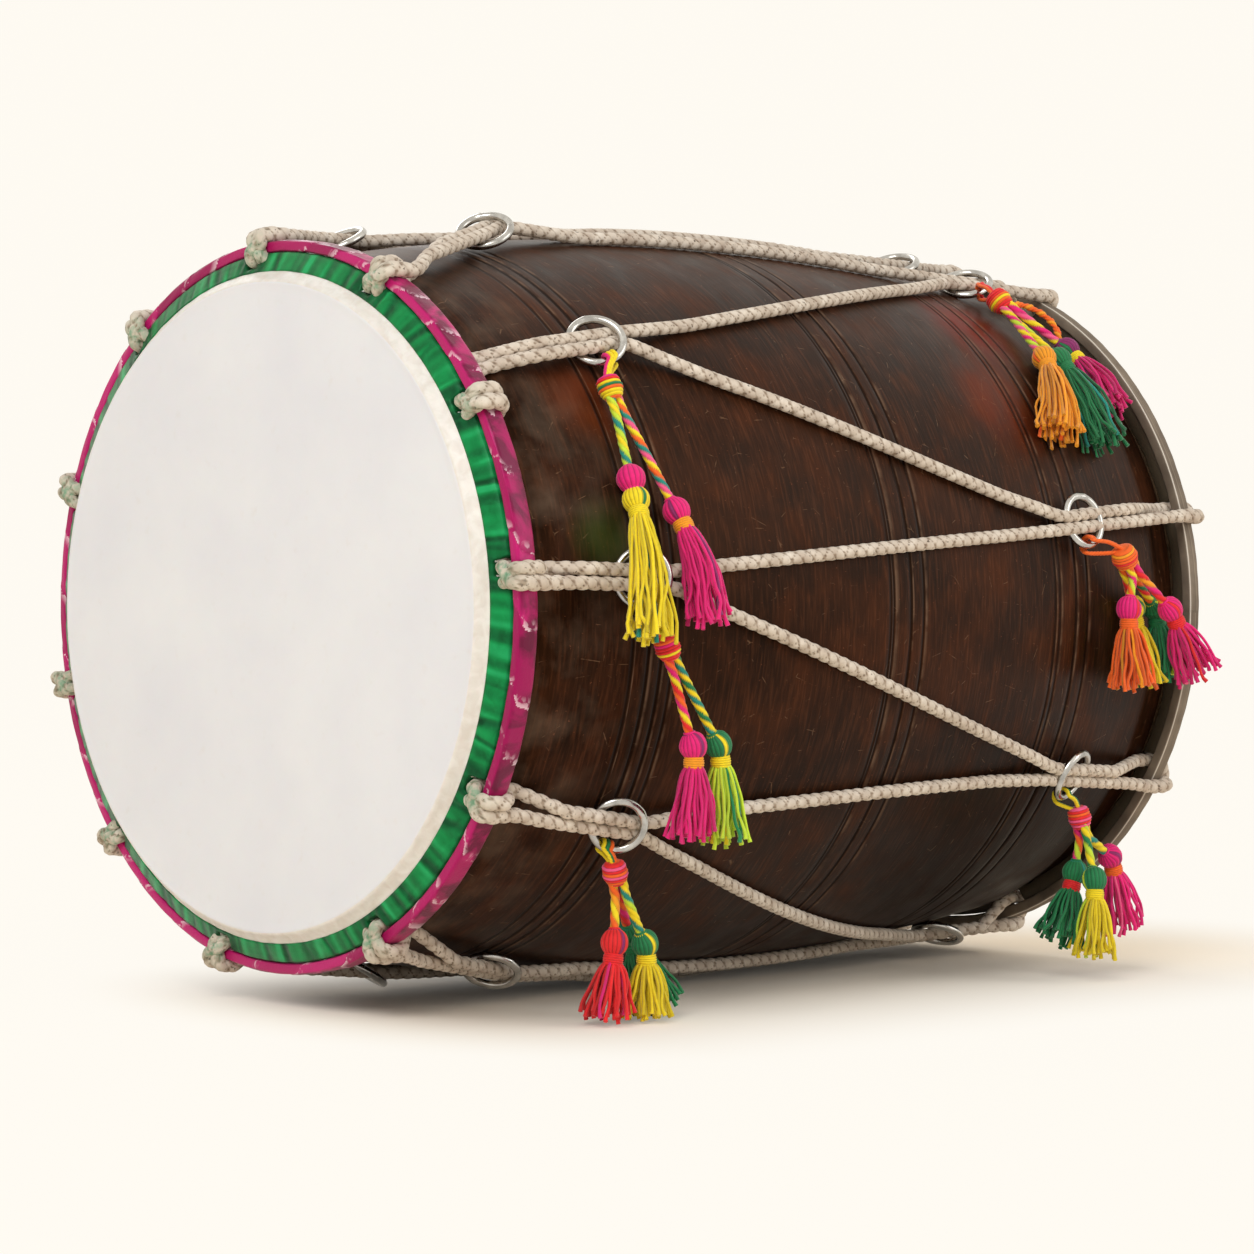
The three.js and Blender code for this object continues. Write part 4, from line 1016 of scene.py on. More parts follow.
# %% Satin band
def satin_band(columns=1440):
    """Points of the satin's outside and inside, with a painted shade value from 0 in the light to 1 deep in
    a fold.
    """
    angles = np.linspace(0, 360, columns, endpoint=False)
    end = TREBLE
    slope = np.array([[-4.9, end["wrap"] - 1.2], [-3.8, end["wrap"]], [-3.0, end["wrap"] + 1.6],
                      [-2.0, end["wrap"] + 3.6], [-1.0, end["wrap"] + 5.6], [0.0, end["rim"] - 0.9],
                      [0.4, end["rim"] - 0.25], [2.2, end["rim"] + 0.05], [4.0, end["rim"] + 0.05]])
    t = np.linspace(0, 1, len(slope))
    rng = np.random.default_rng(7)
    pleats = np.cumsum(rng.uniform(1.8, 7.5, 110))
    pleats = pleats[pleats < 358]
    weight, slant = rng.uniform(0.15, 1.0, len(pleats)), rng.uniform(-1.2, 1.2, len(pleats))
    apart = (angles[None, :, None] - pleats - slant * t[:, None, None] + 180) % 360 - 180
    pleat = (weight * np.exp(-(apart / rng.uniform(0.3, 0.75, len(pleats))) ** 2)).max(2)
    fine = sum(np.sin(np.radians(angles) * c + p) for c, p in ((53, 1.1), (83, 2.7), (37, 0.4))) / 3
    hold = hitch_share(angles, treble_hitches, end["floor"], half=9.5, soft=5)
    crumple = hold * np.sin(np.radians(angles) * 170 + 3 * t[:, None]) * 0.7
    lift = 0.8 + 0.3 * fine - 0.6 * pleat + 0.35 * crumple
    along = np.array([0.2, 0.7, 1.0, 1.0, 0.9, 0.7, 0.3, 0.0, 0.0])
    rise = 0.45 + lift * along[:, None]
    facing = np.array([0.88] * 6 + [0.6, 0.0, 0.0])[:, None]
    inward = slope[:, :1] - rise * facing
    radius = slope[:, 1:] + rise * np.where(facing > 0, 0.47, 0.75)
    pressed = hitch_share(angles, treble_hitches, end["floor"])[None, :]
    floor = end["floor"] - 0.05 + 0 * radius
    radius = radius * (1 - pressed) + np.minimum(radius, floor) * pressed
    inner_in, inner_r = inward + 0.42, radius - 0.22
    outside = place(inward, radius, angles[None, :])
    inside = place(inner_in, inner_r, angles[None, :])
    # Light runs along the pleats in narrow bands, so the shade follows a quicker wave than the form
    quick = sum(np.sin(np.radians(angles) * c + p + 1.5 * t[:, None])
                for c, p in ((97, 0.3), (149, 2.1), (71, 4.4))) / 3
    fold = 0.85 * pleat + 0.7 * np.maximum(crumple, 0) + 0.35 * hold + 0.2 + 0.24 * quick - 0.12 * fine
    fold = np.clip(fold, 0, 1)
    return np.concatenate([outside, inside[::-1]]), np.concatenate([fold, fold[::-1]])


points, fold = satin_band()
satin = make_object("satin_band", grid(points, wrap_rows=True, caps=False, fold=fold.ravel()))
print("satin band:", len(satin.data.polygons), "faces")

# %% [markdown]
# ## Hoops
# The treble hoop is wrapped in magenta ribbon, each turn lapping over the last, so a turn starts with a
# raised edge and slopes down to the next. The laps are uneven, as a hand leaves them. The bass hoop is
# a bare ring of weathered wood. Both are a rounded section swept round the drum.

# %% Sections of the hoops
def rounded_section(end, corner, count):
    """Points round a hoop's section: depth inward and radius, with the way each faces."""
    half_width, half_thick = end["width"] / 2, end["thickness"] / 2
    turn = np.linspace(0, 2 * math.pi, count, endpoint=False) + 0.01
    power = 2 / corner
    x = half_width * np.sign(np.cos(turn)) * np.abs(np.cos(turn)) ** power
    y = half_thick * np.sign(np.sin(turn)) * np.abs(np.sin(turn)) ** power
    return x + half_width, y + (end["hoop"] - half_thick), np.cos(turn), np.sin(turn)


def ribbon_laps(seed):
    """Distances round the hoop of the edges of its uneven laps, from 0 to the whole way round."""
    rng = np.random.default_rng(seed)
    widths = rng.uniform(24, 44, 80)
    circle = 2 * math.pi * TREBLE["hoop"]
    widths = widths[:int(np.searchsorted(np.cumsum(widths), circle))]
    widths *= circle / widths.sum()
    return np.concatenate([[0], np.cumsum(widths)])


# %% The ribboned hoop and the bare one
columns, rows = 1800, 40
depth, radius, across, outward = rounded_section(TREBLE, 4.5, rows)
edges = ribbon_laps(5)
arc = np.linspace(0, 2 * math.pi * TREBLE["hoop"], columns, endpoint=False)[:, None]
slant = 9.0 * np.sin(np.linspace(0, 2 * math.pi, rows, endpoint=False) + 0.5)[None, :]
shifted = (arc + slant) % edges[-1]
lap = np.searchsorted(edges, shifted, side="right") - 1
from_edge = shifted - edges[lap]
lap_width = np.diff(edges)[lap]
# An edge of 0.3 mm, the rounding of a lap across its width, and small creases
raised = 0.3 * np.clip(from_edge / 1.2, 0, 1) * np.exp(-from_edge / 11)
raised = raised + 0.15 * np.sin(from_edge / lap_width * math.pi)
raised = raised + 0.12 * np.sin(arc / 9.3) * np.sin(arc / 5.1 + slant) - 0.3
angles = np.degrees(arc / TREBLE["hoop"])
points = place(depth[None, :] + raised * across[None, :], radius[None, :] + raised * outward[None, :],
    angles)
lap_shade = np.random.default_rng(9).uniform(0, 1, 100)[lap]
treble_hoop = make_object("ribbon_hoop", grid(
    points, wrap_rows=True, from_edge=from_edge.ravel(), lap=lap_shade.ravel(),
    facing=np.repeat(outward[None, :], columns, 0).ravel()))

columns, rows = 900, 24
depth, radius, across, outward = rounded_section(BASS, 5, rows)
angles = np.linspace(0, 360, columns, endpoint=False)[:, None]
rough = 0.12 * np.sin(np.radians(angles) * 71) * np.sin(np.radians(angles) * 29 + 1) - 0.12
points = place(BASS["face"] - depth[None, :] - rough * across[None, :],
    radius[None, :] + rough * outward[None, :], angles)
corner = np.arctan2(outward, across)
arris = np.exp(-(((corner - math.pi / 4) / 0.16) ** 2))
bass_hoop = make_object("bass_wood_hoop", grid(
    points, wrap_rows=True, round=np.repeat(angles / 360, rows, 1).ravel(), arris=np.tile(arris, columns)))
print("ribbon laps:", len(edges) - 1)

# %% [markdown]
# ## The lacing rope
# One plaited cotton rope, 7 mm thick, is hitched round the treble hoop, runs through a ring, crosses the
# belly, runs through the next ring, and is hitched round the bass hoop, eleven times over. Its route is
# worked out point by point from the tables. Geometry Nodes then sweep a round section along it and raise
# the plait on its surface: two strands wind to the left and two to the right, and each goes over and
# under the others by turns. That gives the rows of slanting bulges which meet in arrowheads.

# %% Route of the rope
STRAND_PITCH = 7.7
SLIDE_REACH = 40.0        # how far towards the hoop a ring's wire comes when it has slid to its limit
EXIT_SHARES = [(0.2, 0.1), (0.45, 0.38), (0.72, 0.7)]
AIM_SLACK = 2.6           # degrees that the rope, being soft, bends up past where its strands point
SHORT_RUN = 0.6           # share of its length for which a strand stays straight, where it bends sooner
LEG_LIFT = 4.1            # of the rope's middle over the barrel, where it crosses the belly
LEG_EASE = 0.16           # share of a leg, at each end, in which it comes down to the barrel


def strand(stem, side):
    """
    A strand's straight run, from near its hoop to past its ring. The strand that goes over the hoop, and
    both of them where they point beside their hitch, bend sooner.
    """
    whole, reach = side < 0 and stem["aim"] == stem["hitch"], stem["length"]
    straight = reach if whole else min(reach, max(SHORT_RUN * reach, SLIDE_REACH))
    past_ring = 16.5 if stem["end"] is TREBLE else 18.0
    return [stem["centre"] + stem["along"] * d + stem["side"] * side * STRAND_PITCH / 2
            for d in (-straight, 7 - straight, -straight / 2, 0.0, past_ring)]


def hitch_sizes(end):
    """Radii of the rope over the hoop and under it, of the hoop's middle, and a strand's angle aside."""
    over, under = end["hoop"] + ROPE_RADIUS + GAP, end["ceiling"] - ROPE_RADIUS - 1.5 * GAP
    return over, under, (end["hoop"] + end["bore"]) / 2, math.degrees(HITCH_PITCH / 2 / under)


def hitch_points(stem):
    """The rope's turn round the hoop: over it, down its face, and back under it through the rim."""
    end, rope, hitch = stem["end"], ROPE_RADIUS, stem["hitch"]
    width, lift = end["width"], ROPE_RADIUS + GAP
    over, under, middle, beside_it = hitch_sizes(end)
    start = strand(stem, 1)[0]
    run = end["inward"] * (start[0] + LENGTH / 2 - end["face"]) - width
    rise = math.hypot(start[1], start[2] - AXIS_HEIGHT) - under
    rows = [
        (width + rope, over, -1), (rope / 2, over, -1), (-0.8 * rope, over - 0.35 * rope, -1),
        (-lift, end["hoop"] - 0.5 * rope, -0.9), (-1.1 * lift, middle + 0.1 * rope, -0.5),
        (-1.1 * lift, middle - 0.5 * rope, 0.35), (-0.95 * lift, end["bore"] - 0.25 * rope, 0.9),
        (-0.3 * rope, under + 0.15 * rope, 1), (rope, under, 1), (width, under, 1),
    ]
    rows = [(x, r, hitch + side * beside_it) for x, r, side in rows]
    leaves = hitch + beside_it
    if stem["aim"] != hitch:
        # The strands point elsewhere: both follow the hoop there, between it and the shell
        aim, away = stem["aim"] + AIM_SLACK, stem["aim"] + AIM_SLACK - hitch
        leaves = aim + beside_it
        near = hitch - beside_it
        rows[0:1] = [
            (width + 0.25 * run, under + 0.18 * rise, aim - beside_it),
            (0.7 * width, under, hitch + 0.7 * away), (0.6 * width, under, hitch + 0.3 * away),
            (width, under + 1, near), (width + 0.6 * rope, (over + under) / 2, near),
            (width - rope, over, near)]
        rows[-1:] = [(0.6 * width, under, hitch + 0.45 * away), (width, under, leaves)]
    turn = (angle_of(start) - leaves + 180) % 360 - 180
    rows += [(width + a * run, under + b * rise, leaves + a * turn) for a, b in EXIT_SHARES]
    return [place(end["face"] + end["inward"] * x, r, angle) for x, r, angle in rows]


def leg_points(start, finish, bow):
    """The rope across the belly, lying on the barrel."""
    stations = [p[0] + LENGTH / 2 for p in (start, finish)]
    angles = [angle_of(p) for p in (start, finish)]
    lifts = [float(height_over_barrel(p[None])[0]) for p in (start, finish)]
    turn = (angles[1] - angles[0] + 180) % 360 - 180
    points = []
    for share in np.linspace(0, 1, 13)[1:-1]:
        station = stations[0] + share * (stations[1] - stations[0])
        ease = max(0.0, 1 - min(share, 1 - share) / LEG_EASE)
        lift = LEG_LIFT + ((lifts[0] if share < 0.5 else lifts[1]) - LEG_LIFT) * ease
        angle = angles[0] + share * turn + 4 * bow * share * (1 - share)
        points.append(place(station, barrel_radius(station) + lift, angle))
    return points


stems = [s for pair in zip(treble_stems, bass_stems) for s in pair]
route = []
for i, stem in enumerate(stems):
    inbound, outbound = strand(stem, -1), strand(stem, 1)
    route += [*inbound[::-1], *hitch_points(stem), *outbound]
    number = i // 2
    bow = UPPER_BOWS.get(number, 0) if i % 2 == 0 else LOWER_BOWS.get((number + 1) % 11, 0)
    route += leg_points(outbound[-1], strand(stems[(i + 1) % len(stems)], -1)[-1], bow)
route = smooth_path(route, 1.3, closed=True)
print("rope is", round(path_length(route) / 1000, 2), "m long, in", len(route), "steps")

# %% A tree that plaits a rope along a line
PLAIT_REPEAT = 8.2        # along the rope, from one bulge to the next of the same row
PLAIT_DEPTH = 1.15
MEAN_HEIGHT = 0.62        # share of the depth at which the plait's surface has the rope's own radius
rope_tree, given = new_tree("plaited_rope", {
    "Radius": "Float", "Repeat": "Float", "Depth": "Float", "Start": "Float", "Material": "Material"})
tree = rope_tree
line = add_node(tree, "GeometryNodeMeshToCurve", {"Mesh": given["Geometry"]})
length = add_node(tree, "GeometryNodeSplineParameter").outputs["Length"]
length = add_node(tree, "ShaderNodeMath", {0: length, 1: given["Start"]}, operation="ADD")
repeats = add_node(tree, "ShaderNodeMath", {0: length, 1: given["Repeat"]}, operation="DIVIDE")
marked = add_node(tree, "GeometryNodeStoreNamedAttribute", {
    "Geometry": line, "Name": "along", "Value": repeats}, data_type="FLOAT", domain="POINT")
section = add_node(tree, "GeometryNodeCurvePrimitiveCircle", {
    "Resolution": 24, "Radius": given["Radius"]}, mode="RADIUS")
# Two strands of either way are met on the way round
round_it = add_node(tree, "GeometryNodeSplineParameter").outputs["Factor"]
round_it = add_node(tree, "ShaderNodeMath", {0: round_it, 1: 2}, operation="MULTIPLY")
section = add_node(tree, "GeometryNodeStoreNamedAttribute", {
    "Geometry": section, "Name": "round", "Value": round_it}, data_type="FLOAT", domain="POINT")
solid = add_node(tree, "GeometryNodeCurveToMesh", {
    "Curve": marked, "Profile Curve": section, "Fill Caps": True})


def strand_profile(tree, phase):
    """Height across a strand, a half round that is zero at its two edges."""
    part = add_node(tree, "ShaderNodeMath", {0: phase}, operation="FRACT")
    rest = add_node(tree, "ShaderNodeMath", {0: 1.0, 1: part}, operation="SUBTRACT")
    hump = add_node(tree, "ShaderNodeMath", {0: part, 1: rest}, operation="MULTIPLY")
    hump = add_node(tree, "ShaderNodeMath", {0: hump, 1: 4.0}, operation="MULTIPLY")
    return add_node(tree, "ShaderNodeMath", {0: hump}, operation="SQRT")


# Phases of the strands that wind to the right and to the left
round_it = add_node(tree, "GeometryNodeInputNamedAttribute", {"Name": "round"}, data_type="FLOAT")
along_it = add_node(tree, "GeometryNodeInputNamedAttribute", {"Name": "along"}, data_type="FLOAT")
rightward = add_node(tree, "ShaderNodeMath", {0: round_it, 1: along_it}, operation="ADD")
leftward = add_node(tree, "ShaderNodeMath", {0: round_it, 1: along_it}, operation="SUBTRACT")
over_right, over_left = (strand_profile(tree, phase) for phase in (rightward, leftward))
heights = []
for over, under in ((over_right, over_left), (over_left, over_right)):
    crown = add_node(tree, "ShaderNodeMath", {0: under, 1: 0.5}, operation="MULTIPLY")
    crown = add_node(tree, "ShaderNodeMath", {0: crown, 1: 0.5}, operation="ADD")
    heights.append(add_node(tree, "ShaderNodeMath", {0: over, 1: crown}, operation="MULTIPLY"))
# In every second cell of the plait the strands that wind to the left are on top
cell_right, cell_left = (
    add_node(tree, "ShaderNodeMath", {0: phase}, operation="FLOOR") for phase in (rightward, leftward))
odd_cell = add_node(tree, "ShaderNodeMath", {0: cell_right, 1: cell_left}, operation="ADD")
odd_cell = add_node(tree, "ShaderNodeMath", {0: odd_cell}, operation="ABSOLUTE")
odd_cell = add_node(tree, "ShaderNodeMath", {0: odd_cell, 1: 2.0}, operation="MODULO")
step_up = add_node(tree, "ShaderNodeMath", {0: heights[1], 1: heights[0]}, operation="SUBTRACT")
step_up = add_node(tree, "ShaderNodeMath", {0: step_up, 1: odd_cell}, operation="MULTIPLY")
height = add_node(tree, "ShaderNodeMath", {0: heights[0], 1: step_up}, operation="ADD")
solid = add_node(tree, "GeometryNodeStoreNamedAttribute", {
    "Geometry": solid, "Name": "ridge", "Value": height}, data_type="FLOAT", domain="POINT")
rise = add_node(tree, "ShaderNodeMath", {0: height, 1: MEAN_HEIGHT}, operation="SUBTRACT")
rise = add_node(tree, "ShaderNodeMath", {0: rise, 1: given["Depth"]}, operation="MULTIPLY")
swell = add_node(tree, "GeometryNodeInputNamedAttribute", {"Name": "swell"}, data_type="FLOAT")
rise = add_node(tree, "ShaderNodeMath", {0: rise, 1: swell}, operation="ADD")
outward_way = add_node(tree, "GeometryNodeInputNormal").outputs["Normal"]
lifted = add_node(tree, "ShaderNodeVectorMath", {0: outward_way, "Scale": rise}, operation="SCALE")
solid = add_node(tree, "GeometryNodeSetPosition", {"Geometry": solid, "Offset": lifted})
real = add_node(tree, "GeometryNodeRealizeInstances", {"Geometry": solid})
real = add_node(tree, "GeometryNodeSetMaterial", {"Geometry": real, "Material": given["Material"]})
add_node(tree, "NodeGroupOutput", {"Geometry": real})
print("rope tree has", len(rope_tree.nodes), "nodes")

# %% [markdown]
# The rope's finish is cotton: matt and creamy, with painted shade between the strands and small dark
# spots of painted shade in pits between the yarns. Where it lies on the green satin, the satin's dye has
# rubbed off on it. How high a point lies in the plait, and how stained it is, come as attributes from the
# tree and the route.

# %% Cotton rope
cotton_rope, tree, shader = new_material("plaited_cotton_rope")
base = add_node(tree, "ShaderNodeValToRGB", {"Fac": blotches(tree, 11, 5)}, stops=[
    (0.25, "#b8a797"), (0.5, "#d3c6b7"), (0.75, "#e8ded1")])
# Painted shade between the strands, where the plait is low
hollow = add_node(tree, "ShaderNodeValToRGB", {
    "Fac": add_node(tree, "ShaderNodeAttribute", attribute_name="ridge").outputs["Fac"]}, stops=[
        (0.1, "#5a4b40"), (0.38, "#ab9b8b"), (0.68, "#ffffff")])
base = add_node(tree, "ShaderNodeMix", {0: 0.8, 6: base, 7: hollow}, data_type="RGBA",
    blend_type="MULTIPLY")
# Small dark spots: painted shade of pits between the yarns
pit_shade = add_node(tree, "ShaderNodeValToRGB", {"Fac": blotches(tree, 2.4, 2)},
    stops=[(0.27, "#4c4037"), (0.34, "#ffffff")])
base = add_node(tree, "ShaderNodeMix", {0: 0.8, 6: base, 7: pit_shade}, data_type="RGBA",
    blend_type="MULTIPLY")
stained = add_node(tree, "ShaderNodeValToRGB", {"Fac": blotches(tree, 3.0, 3)},
    stops=[(0.38, 0.1), (0.62, 0.75)])
stained = add_node(tree, "ShaderNodeMath", {
    0: add_node(tree, "ShaderNodeAttribute", attribute_name="stain").outputs["Fac"], 1: stained},
    operation="MULTIPLY")
base = add_node(tree, "ShaderNodeMix", {0: stained, 6: base, 7: "#4f9a78"}, data_type="RGBA")
fill(tree, shader, {"Base Color": base, "Roughness": 0.9, "Specular IOR Level": 0.3})
# Yarns are 0.5 mm thick; drawn at 0.9 mm, so that they show
fill(tree, shader, {"Normal": add_node(tree, "ShaderNodeBump", {
    "Height": blotches(tree, 0.9, 3), "Distance": 0.22 * MM})})

# %% Four lengths of rope
HITCH_SWELL = 0.75        # that the rope is thicker by, where a hitch presses it wide on its hoop
TURN_SWELL = 0.3          # and all along a second turn
tops = np.array([
    place(s["end"]["face"] + s["end"]["inward"] * s["end"]["width"] / 2, s["end"]["hoop"] + 2, s["hitch"])
    for s in stems])
dyed_places = np.array([
    place(-4.5, TREBLE["hoop"] - 6, s["hitch"]) for s in treble_stems] + [treble_stems[3]["centre"]])


def rope_piece(name, line, start, swell, stain):
    """Length of plaited rope along a line. Its plait goes on from where it is at the start."""
    return run_tree(rope_tree, line, {
        "Radius": ROPE_RADIUS * MM, "Repeat": PLAIT_REPEAT * MM, "Depth": PLAIT_DEPTH * MM,
        "Start": start * MM, "Material": cotton_rope}, name, {"swell": swell, "stain": stain})


def nearness(points, spots, reach):
    """1 at any of the spots, falling to 0 at about twice the reach."""
    apart = np.min(np.linalg.norm(points[:, None] - spots[None], axis=2), axis=1)
    return np.exp(-((apart / reach) ** 2))


fat = HITCH_SWELL * nearness(route, tops, 14) * MM
green = nearness(route, dyed_places, 7)
quarter = len(route) // 4
around = np.concatenate([route, route[:1]])
ropes, done = [], 0.0
for i in range(4):
    pick = slice(i * quarter, (i + 1) * quarter + 1 if i < 3 else None)
    fatter, dyed = (np.append(values, values[0])[pick] for values in (fat, green))
    ropes.append(rope_piece(f"lacing_{i + 1}", around[pick], done, fatter, dyed))
    done += path_length(around[pick])


# %% Second turns of the treble hitches
def second_turn(stem):
    """The rope's second turn over the hoop, beside the first and under it where they cross."""
    end, rope = stem["end"], ROPE_RADIUS
    width, (over, under, middle, beside_it) = end["width"], hitch_sizes(end)
    rows = [
        (width - 1, under, 0.65), (width + 0.5 * rope, (over + under) / 2, 0.65),
        (width - rope, over, 0.65), (rope / 2, over, 0.65), (-0.6 * rope, over - 0.35 * rope, 0.6),
        (-0.8 * rope, end["hoop"] - 0.5 * rope, 0.4), (-0.75 * rope, middle, -0.1),
        (-0.7 * rope, end["bore"], -0.6), (0, under + 0.2 * rope, -0.75), (1.5 * rope, under, -0.75)]
    return smooth_path([place(end["face"] + end["inward"] * x, r, stem["hitch"] + s * beside_it)
                        for x, r, s in rows], 1.3)


for number, stem in enumerate(treble_stems):
    line = second_turn(stem)
    swell, stain = TURN_SWELL * MM * np.ones(len(line)), nearness(line, dyed_places, 7)
    ropes.append(rope_piece(f"hitch_turn_{number + 1:02d}", line, 0.0, swell, stain))
for rope in ropes:
    move_points(rope.data, lambda points: above(points, 0))
print("rope faces:", [len(r.data.polygons) for r in ropes])

# %% [markdown]
# ## Rings
# Each ring is bent from round steel wire, 4.6 mm thick, and welded shut. It leans across its two strands,
# with one side over them and the other under, so that it grips. The rings lean one way at the treble end
# and the other way at the bass end. A ring swept from a circle with a slightly thicker weld is enough.

# %% Steel rings
def steel_ring(stem, seed):
    """Part of a mesh of a wire ring, a little out of round, with a weld."""
    columns, rows = 20, 72
    turn = np.linspace(0, 2 * math.pi, rows, endpoint=False)
    rng = np.random.default_rng(seed)
    lean, side = stem["lean"], stem["side"]
    axis = np.cross(lean, side)
    oval = 1 + 0.012 * np.cos(2 * turn + rng.uniform(0, 6))
    weld = WIRE_RADIUS + 0.28 * np.exp(-((turn - rng.uniform(0.6, 2.6)) / 0.09) ** 2)
    round_it = np.linspace(0, 2 * math.pi, columns, endpoint=False)
    spoke = lean * np.cos(turn)[:, None] + side * np.sin(turn)[:, None]
    points = stem["centre"] + (
        spoke[:, None] * (RING_RADIUS * oval[:, None] + weld[:, None] * np.cos(round_it))[..., None]
        + axis * (weld[:, None] * np.sin(round_it))[..., None]
    )
    return grid(points, wrap_rows=True)


rings = {}
for end, group in (("treble", treble_stems), ("bass", bass_stems)):
    for i, stem in enumerate(group):
        name = f"{end}_ring_{i + 1:02d}"
        rings[name] = make_object(f"steel_{name}", steel_ring(stem, 20 + i))
print("rings made:", len(rings))

# %% [markdown]
# ## Finishes
# The barrel is a dark hardwood log, turned, stained brown and oiled: nearly black where the stain is thick
# and red-brown where it is thin, with tool marks round it, fine scratches, flecks where the stain has
# gone and dust near the treble hoop. Over these lie painted reflections of the tassels' colours beside
# them, painted shade low on the bass side, where the wood is also less glossy, and painted shade inside
# the grooves, with a painted highlight on one shoulder of each. Noise on Object coordinates gives the
# blotches, and attributes of the turned outline the grooves.

# %% Stained wood
stained_wood, tree, shader = new_material("stained_hardwood")
# Blotches of about 55 and 24 mm, tool marks 1.8 mm apart that run round the barrel
blotch = blotches(tree, 55, 6, stretch=(0.8, 1, 1), distortion=0.4)
mottle = blotches(tree, 24, 6, stretch=(1, 0.7, 0.7), distortion=0.4)
marks = blotches(tree, 1.8, 4, stretch=(1, 0.1, 0.1), distortion=0.5)
base = add_node(tree, "ShaderNodeValToRGB", {"Fac": blotch}, stops=[
    (0.3, "#160b06"), (0.5, "#2a160c"), (0.68, "#472411")])
base = add_node(tree, "ShaderNodeMix", {
    0: 0.5, 6: base, 7: add_node(tree, "ShaderNodeValToRGB", {"Fac": mottle}, stops=[
        (0.32, "#120a05"), (0.52, "#2a170d"), (0.7, "#4d2815")])}, data_type="RGBA")
base = add_node(tree, "ShaderNodeMix", {
    0: 0.28, 6: base, 7: add_node(tree, "ShaderNodeValToRGB", {"Fac": marks}, stops=[
        (0.35, "#0f0804"), (0.5, "#2c170c"), (0.7, "#633a24")])}, data_type="RGBA")
# Layers over it: the share and colour of each, from the lowest to the highest
layers = []
# Scratches: thin edges between cells of 34 mm, shown only here and there
where = add_node(tree, "ShaderNodeTexCoord").outputs["Object"]
cells = add_node(tree, "ShaderNodeMapping", {
    "Vector": where, "Rotation": (0.4, 0.9, 0.3), "Scale": (1, 0.45, 1.7)})
cells = add_node(tree, "ShaderNodeTexVoronoi", {
    "Vector": cells, "Scale": 1 / (34 * MM)}, feature="DISTANCE_TO_EDGE")
scratch = add_node(tree, "ShaderNodeValToRGB", {"Fac": cells.outputs["Distance"]},
    stops=[(0.003, 1.0), (0.009, 0.0)])
shown = add_node(tree, "ShaderNodeValToRGB", {"Fac": blotches(tree, 7, 3)},
    stops=[(0.56, 0.0), (0.66, 1.0)])
scratch = add_node(tree, "ShaderNodeMath", {0: scratch, 1: shown}, operation="MULTIPLY")
layers.append((add_node(tree, "ShaderNodeMath", {0: scratch, 1: 0.42}, operation="MULTIPLY"), "#8d6b50"))
flecks = add_node(tree, "ShaderNodeValToRGB", {"Fac": blotches(tree, 1.9, 3)},
    stops=[(0.69, 0.0), (0.74, 1.0)])
layers.append((add_node(tree, "ShaderNodeMath", {0: flecks, 1: 0.3}, operation="MULTIPLY"), "#94583a"))
# Dust near the treble hoop
split = add_node(tree, "ShaderNodeSeparateXYZ", {"Vector": where})
east = split.outputs["X"]
near_hoop = add_node(tree, "ShaderNodeMapRange", {"Value": east, "From Min": -0.17, "From Max": -0.25})
dust = add_node(tree, "ShaderNodeValToRGB", {"Fac": blotches(tree, 26, 6)},
    stops=[(0.42, 0.0), (0.75, 1.0)])
dust = add_node(tree, "ShaderNodeMath", {0: dust, 1: near_hoop}, operation="MULTIPLY")
layers.append((add_node(tree, "ShaderNodeMath", {0: dust, 1: 0.34}, operation="MULTIPLY"), "#84705f"))
# Painted reflections of the tassels' colours beside them: red and brown at the bass side, brown and green at
# the treble side
patchy = add_node(tree, "ShaderNodeValToRGB", {"Fac": mottle}, stops=[(0.3, 0.4), (0.6, 1.0)])
for station, angle, far, colour in ((434, 54, 0.05, "#8a1606"), (408, 36, 0.05, "#7a2a0c"),
                                    (80, 34, 0.034, "#7c3410"), (68, 12, 0.03, "#2d4a1c")):
    middle = tuple(place(station, float(barrel_radius(station)), angle) * MM)
    apart = add_node(tree, "ShaderNodeVectorMath", {0: where, 1: middle}, operation="DISTANCE")
    near = add_node(tree, "ShaderNodeMapRange", {
        "Value": apart.outputs["Value"], "From Min": 0.006, "From Max": far, "To Min": 0.5, "To Max": 0.0},
        interpolation_type="SMOOTHSTEP")
    layers.append((add_node(tree, "ShaderNodeMath", {0: near, 1: patchy}, operation="MULTIPLY"), colour))
# Painted shade inside the grooves, and a painted highlight on one shoulder
dark = add_node(tree, "ShaderNodeMath", {
    0: add_node(tree, "ShaderNodeAttribute", attribute_name="groove").outputs["Fac"], 1: 0.8},
    operation="MULTIPLY")
painted_highlight = add_node(tree, "ShaderNodeValToRGB", {"Fac": blotches(tree, 14, 4)},
    stops=[(0.4, 0.05), (0.62, 0.6)])
painted_highlight = add_node(tree, "ShaderNodeMath", {
    0: add_node(tree, "ShaderNodeAttribute", attribute_name="rubbed").outputs["Fac"], 1: painted_highlight},
    operation="MULTIPLY")
layers += [(dark, "#0d0705"), (painted_highlight, "#7d6350")]
